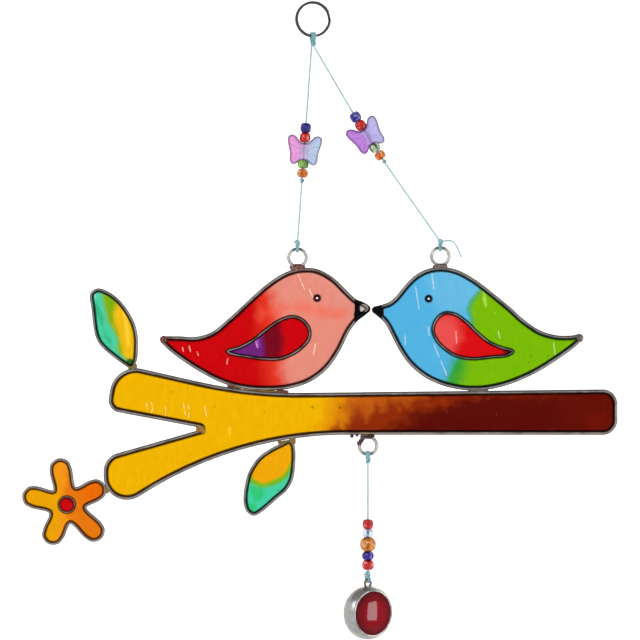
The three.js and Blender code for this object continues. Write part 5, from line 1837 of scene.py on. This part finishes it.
BRANCH_RESIN = Resin(
    "branch resin", "branch_resin", tone(227, 172, 0),
    (
        Tint(tone(214, 134, 2), right_of(((332, 380), (328, 400), (322, 440)), 0), 12.0, 3.0),
        Tint(tone(174, 80, 12), right_of(((354, 380), (348, 400), (336, 440)), 0), 10.0, 4.0),
        Tint(
            tone(132, 36, 3),
            (
                (326, 450), (336, 432), (352, 420), (378, 410), (410, 402), (440, 390), (640, 380),
                (640, 450),
            ),
            7.0, 4.4, strength=0.95,
        ),
        Tint(
            tone(86, 6, 0),
            ((372, 450), (388, 428), (414, 416), (442, 404), (484, 394), (640, 388), (640, 450)), 7.0, 3.6,
        ),
        Tint(
            tone(112, 20, 0), ((424, 380), (500, 380), (640, 380), (640, 399), (500, 396), (434, 396)), 5.0,
            2.0, strength=0.8,
        ),
        Tint(tone(94, 10, 0), right_of(((566, 380), (560, 400), (566, 440)), 0), 8.0, 1.6),
        Tint(tone(106, 14, 2), ((586, 416), (606, 412), (610, 428), (590, 430)), 3.0, 1.0),
        # a painted highlight: a paler orange stroke
        Tint(tone(194, 100, 16), ((352, 398), (372, 402)), 4.0, 3.0, stroke=0.6, strength=0.5),
        Tint(tone(255, 214, 70), ((229.7, 428.5), (229.7, 435)), 0.8, 0.3, stroke=0.4, strength=0.7),
    ),
)
UPPER_SEAM = (
    (102.5, 282), (104.2, 296), (106.6, 312.3), (111.5, 325.2), (117.1, 336.5), (119.5, 342.9),
    (117.9, 349.4), (123.5, 357.4), (131, 366),
)
UPPER_RESIN = Resin(
    "upper leaf resin", "leaf_resin", tone(70, 196, 156),
    (
        Tint(tone(44, 170, 112), ((96, 305), (104, 330), (110, 345)), 1.6, 1.4, stroke=0.8, strength=0.7),
        Tint(tone(228, 178, 20), UPPER_SEAM + ((150, 372), (150, 320), (132, 290), (112, 280)), 0.8, 0.6),
        Tint(tone(250, 208, 60), ((124, 312), (129, 345)), 1.4, 0.6, stroke=0.6, strength=0.8),
        Tint(tone(218, 172, 0), ((131, 318), (134, 350)), 1.2, 0.6, stroke=0.6, strength=0.8),
        Tint(
            tone(118, 168, 16),
            tuple(((u - 1.2, v) for u, v in UPPER_SEAM)) + (
                (127.5, 358), (123, 352.6), (121, 344.5), (120.4, 336.5), (117, 328.4), (114.4, 320.3),
                (113, 312.3), (116.5, 304.2), (112.5, 294), (107, 282),
            ),
            2.8, 0.9,
        ),
        Tint(tone(40, 96, 30), ((126, 359), (131, 358), (135, 362), (131, 366), (127, 364)), 1.2, 0.5),
    ),
)
LOWER_SEAM = (
    (246, 474), (251.5, 480), (257.2, 484), (264.1, 485.7), (272.1, 483.4), (280.2, 480), (285.9, 475.3),
    (289.4, 470.2), (293, 464),
)
LOWER_RESIN = Resin(
    "lower leaf resin", "leaf_resin", tone(227, 161, 4),
    (
        Tint(
            tone(64, 196, 156), LOWER_SEAM + ((300, 470), (290, 500), (262, 522), (238, 520), (236, 480)),
            0.8, 0.5,
        ),
        Tint(tone(44, 190, 104), ((250, 488), (262, 488), (264, 498), (254, 502)), 1.8, 0.9, strength=0.8),
        Tint(tone(44, 190, 104), ((246, 504), (257, 503), (256, 513), (246, 513)), 1.4, 0.7, strength=0.8),
        Tint(tone(108, 176, 26), LOWER_SEAM, 1.8, 0.6, stroke=0.95),
    ),
)
FLOWER_RESIN = Resin(
    "flower resin", "flower_resin", tone(229, 146, 20),
    (
        Tint(
            tone(218, 114, 10),
            ((64, 488), (72, 458), (96, 440), (108, 470), (120, 520), (100, 545), (84, 545), (70, 515)),
            5.0, 2.4,
        ),
        Tint(tone(223, 156, 2), ((56, 480), (62, 500), (56, 545), (20, 530), (10, 480), (30, 460)), 4.0),
        Tint(tone(220, 102, 2), ((78, 480), (110, 468), (112, 500), (84, 502)), 4.0, 2.0),
    ),
)
FLOWER_HEART = Resin(
    "flower heart resin", "centre_resin", tone(190, 6, 10),
    (Tint(tone(140, 0, 10), ((66, 490), (74, 492), (76, 504), (66, 500)), 2.0, 0.6),),
)

RED_RIPPLES = (
    Ripple((297.5, 272.7), (304.5, 289.3)), Ripple((309.3, 289.3), (313.5, 298.3)),
    Ripple((315.5, 344), (313.5, 354.3), 0.09, 0.4), Ripple((227.8, 358.5), (227, 364)),
    Ripple((182.5, 347.5), (183.3, 351), 0.05, 0.26), Ripple((189.2, 346.2), (190.4, 351), 0.05, 0.3),
    Ripple((197.2, 351.6), (198.4, 355.4), 0.05, 0.24),
)
RED_WING_RIPPLES = (Ripple((255.5, 340.5), (257.4, 347.4)), dot((251, 350)), dot((298, 348)))
BLUE_RIPPLES = (
    Ripple((431.8, 273.3), (433.7, 288.9)), Ripple((415.6, 286.8), (419.1, 308.7)),
    Ripple((404.9, 334.2), (405.4, 344.1)), Ripple((434, 344.1), (439, 357)),
    Ripple((441, 361), (446.7, 375.3)), Ripple((428.3, 327.1), (429, 335.6), 0.04),
    Ripple((498.4, 331.4), (499.8, 338.4), 0.04), Ripple((553.6, 342.7), (555, 354)), dot((531, 356)),
    dot((548, 355.4)), dot((528.8, 362.5)),
)
BLUE_WING_RIPPLES = (Ripple((455.9, 331.4), (456.6, 342.7)),)
BRANCH_RIPPLES = (
    Ripple((146.5, 403), (147.6, 409), 0.05, 0.2), Ripple((151.0, 402), (152.6, 406), 0.05, 0.22),
    Ripple((152.8, 408), (151.4, 413), 0.05, 0.2), Ripple((165.6, 405.6), (165.6, 415.8), 0.06, 0.22),
    Ripple((183.4, 403.6), (184.2, 408), 0.05, 0.2), Ripple((187.4, 404.5), (189.8, 409), 0.05, 0.2),
    Ripple((189.2, 412), (188.2, 418), 0.05, 0.22), Ripple((184.6, 411), (185.8, 414.6), 0.05, 0.18),
    Ripple((204.5, 406.4), (206.5, 415.8), 0.06, 0.24), dot((214.8, 406.4)), dot((264.8, 411.9)),
    dot((312.6, 407), 0.7, -0.1), dot((339.5, 407.4), 0.8, -0.1), dot((171.9, 391.6)), dot((187.5, 387.7)),
)

RED_BIRD = Bird(
    "red_bird", -1, 82.2,
    (
        (0, 0), (24, 20), (65, 37), (114, 82), (177, 142), (255, 183), (333, 186), (406, 164), (499, 102),
        (664, -48), (761, -125), (844, -148), (927, -145), (1000, -150), (976, -182), (869, -264),
        (718, -347), (611, -378), (499, -387), (387, -378), (289, -346), (211, -288), (153, -208),
        (97, -99), (60, -52), (19, -20),
    ),
    32.6,
    (
        (0, 0), (159, 54), (319, 142), (490, 277), (650, 382), (803, 424), (925, 376), (1000, 271),
        (995, 154), (907, 47), (797, -29), (637, -89), (441, -91), (221, -61), (49, -29),
    ),
    RED_BODY, RED_WING, RED_BEAK, RED_RIPPLES, RED_WING_RIPPLES,
    (
        ((231.8, 385.4), (2.0, 0.8, 1.0)), ((281.8, 391.9), (2.6, 0.75, 0.9)),
        ((164.2, 339.6), (1.7, 0.95, 1.6)),
    ),
    (3.3, 0.95, 1.5), 10, RED_WIRE, 354.6, (364.4, 307.6),
)
BLUE_BIRD = Bird(
    "blue_bird", 1, 82.8,
    (
        (0, 0), (40, 13), (81, 28), (117, 59), (156, 107), (199, 151), (252, 182), (320, 195), (392, 184),
        (474, 143), (643, 11), (726, -62), (803, -112), (880, -134), (948, -136), (1000, -132), (977, -161),
        (827, -268), (730, -320), (629, -358), (528, -378), (431, -377), (339, -357), (257, -321),
        (185, -263), (136, -197), (59, -55), (22, -21),
    ),
    31.9,
    (
        (0, 0), (150, 50), (301, 118), (451, 241), (589, 376), (727, 466), (858, 479), (959, 397),
        (1000, 266), (946, 134), (827, 15), (689, -60), (514, -90), (276, -70), (63, -43),
    ),
    BLUE_BODY, BLUE_WING, BLUE_BEAK, BLUE_RIPPLES, BLUE_WING_RIPPLES,
    (((478.5, 390.6), (4.2, 0.85, 1.2)), ((579.2, 338.0), (1.6, 0.95, 1.7))), (3.0, 0.95, 1.2), 20,
    BLUE_WIRE, 382.0,
)
UPPER_LEAF = Leaf(
    "upper_leaf", 30.6,
    (
        (0, 0), (-92, 48), (-391, 297), (-454, 422), (-499, 749), (-516, 952), (-438, 1000), (-314, 959),
        (-183, 860), (-72, 725), (10, 573), (54, 403), (52, 148), (33, 56),
    ),
    Seat.HIGH, UPPER_RESIN, (Ripple((95.0, 292), (95.6, 298)),),
    (((129.8, 367.0), (0.75, 0.7, 1.1)), ((135.2, 366.6), (0.75, 0.7, 1.1))), 80,
)
LOWER_LEAF = Leaf(
    "lower_leaf", 28.9,
    (
        (0, 0), (48, -47), (62, -269), (30, -511), (-46, -651), (-177, -767), (-406, -961), (-492, -1000),
        (-568, -947), (-604, -809), (-557, -490), (-489, -345), (-392, -224), (-267, -133), (-80, -37),
    ),
    Seat.LOW, LOWER_RESIN, (dot((278, 490)),),
    (
        ((292.5, 440.6), (1.3, 0.8, 1.6)), ((285.6, 442.4), (2.2, 0.6, 0.75)),
        ((279.5, 441.8), (0.8, 0.6, 0.9)),
    ),
    90,
)


def hanging_cords() -> list[HangingCord]:
    """The three cords, from the split ring to the birds' loops and from the branch to the drop."""
    loops = {}
    for bird in ("red_bird", "blue_bird"):
        low, high = box(f"{bird}_loop")
        loops[bird] = ((low[0] + high[0]) / 2, high[2] - 0.65)
    ring_knot = Knot("knot_ring", (0.0, -15.46), (2.6, 3.0), (0.0, -12.95), (1.72, 1.5), 12.0, 3)
    cords = []
    for side, bird, sag in (("left", "red_bird", 0.0), ("right", "blue_bird", 1.5)):
        x, z = loops[bird]
        top = np.array([0.575 if side == "right" else -0.575, -17.2])
        knot = np.array([x, z + 2.3])
        up = (top - knot) / np.linalg.norm(top - knot)
        bottom = knot + 1.75 * up
        tail = tuple((8.5 * a, 8.5 * b) for a, b in (
            (0, 0), (0.3, 0.06), (0.58, 0.03), (0.76, -0.18), (0.88, -0.45), (1, -0.72)))
        stub = ((0, 0), (-0.9, 0.5), (-1.35, 0.2))
        stopper = Knot(f"knot_{side}_beads", tuple(middle(f"knot_{side}_beads")[[0, 2]]), (1.9, 1.8))
        knots = (stopper, Knot(
            f"knot_{side}_loop", tuple(knot), held=(x, z), ends=(tail,) if side == "right" else (stub,)))
        green = LEAF_GLASS if side == "left" else STRIPED_GLASS
        beads = (
            Bead(f"{side}_blue_bead", BeadKind.SEED, INDIGO),
            Bead(f"{side}_red_bead", BeadKind.SEED, RED_GLASS),
            ButterflyBead(f"{side}_butterfly_bead", LILAC if side == "left" else VIOLET),
            Bead(f"{side}_green_bead", BeadKind.FLAT, green, turn=-90.0),
            Bead(f"{side}_orange_bead", BeadKind.FLAT, ORANGE_GLASS),
        )
        held = np.linalg.norm(np.array(stopper.centre) - top) / np.linalg.norm(bottom - top)
        knots = knots + ((ring_knot,) if side == "left" else ())
        cords.append(HangingCord(f"cord_{side}", tuple(top), tuple(bottom), sag, 0.8 * held, beads, knots))
    upper, lower = box("knot_drop_top"), box("knot_drop_bottom")
    loop_low, eye_top = box("branch_loop")[0][2], box("drop_loop")[1][2]
    x = (upper[0][0] + upper[1][0]) / 2
    frayed = (((0, 0), (-1.0, 0.2), (-1.7, -0.5)), ((0, 0), (-0.8, -0.7), (-1.3, -1.3)))
    knots = (
        Knot("knot_drop_top", (x, upper[0][2] + 1.45), held=(x, loop_low + 0.65), hoops=3),
        Knot("knot_drop_bottom", (x, lower[1][2] - 1.45), held=(x, eye_top - 0.45), grip=(1.0, 1.0), yaw=35.0,
             ends=frayed),
    )
    beads = (
        Bead("drop_upper_red_bead", BeadKind.SEED, RED_GLASS),
        Bead("drop_clear_bead", BeadKind.SPACER, WATER),
        Bead("drop_amber_bead", BeadKind.BARREL, AMBER),
        Bead("drop_blue_bead", BeadKind.DISC, INDIGO),
        Bead("drop_lower_red_bead", BeadKind.THICK_DISC, RED_GLASS),
    )
    ends = (x, upper[0][2] + 1.45 - 1.75), (x, lower[1][2] - 1.45 + 1.75)
    cords.append(HangingCord("cord_drop", *ends, beads=beads, knots=knots, lay="hanging"))
    return cords


def main() -> None:
    """Builds the camera and the cords, then everything else."""
    logging.basicConfig(level=logging.INFO, format="%(message)s")
    shop = Workshop()
    studio = Studio()
    studio.camera()
    for cord in hanging_cords():
        cord.build(shop)
    studio.build()
    for part in (
        SplitRing(), RED_BIRD, BLUE_BIRD, Branch(BRANCH_RESIN, BRANCH_RIPPLES), UPPER_LEAF, LOWER_LEAF,
        Flower(FLOWER_RESIN, FLOWER_HEART), Drop(),
    ):
        part.build(shop)


if __name__ == "__main__":
    main()
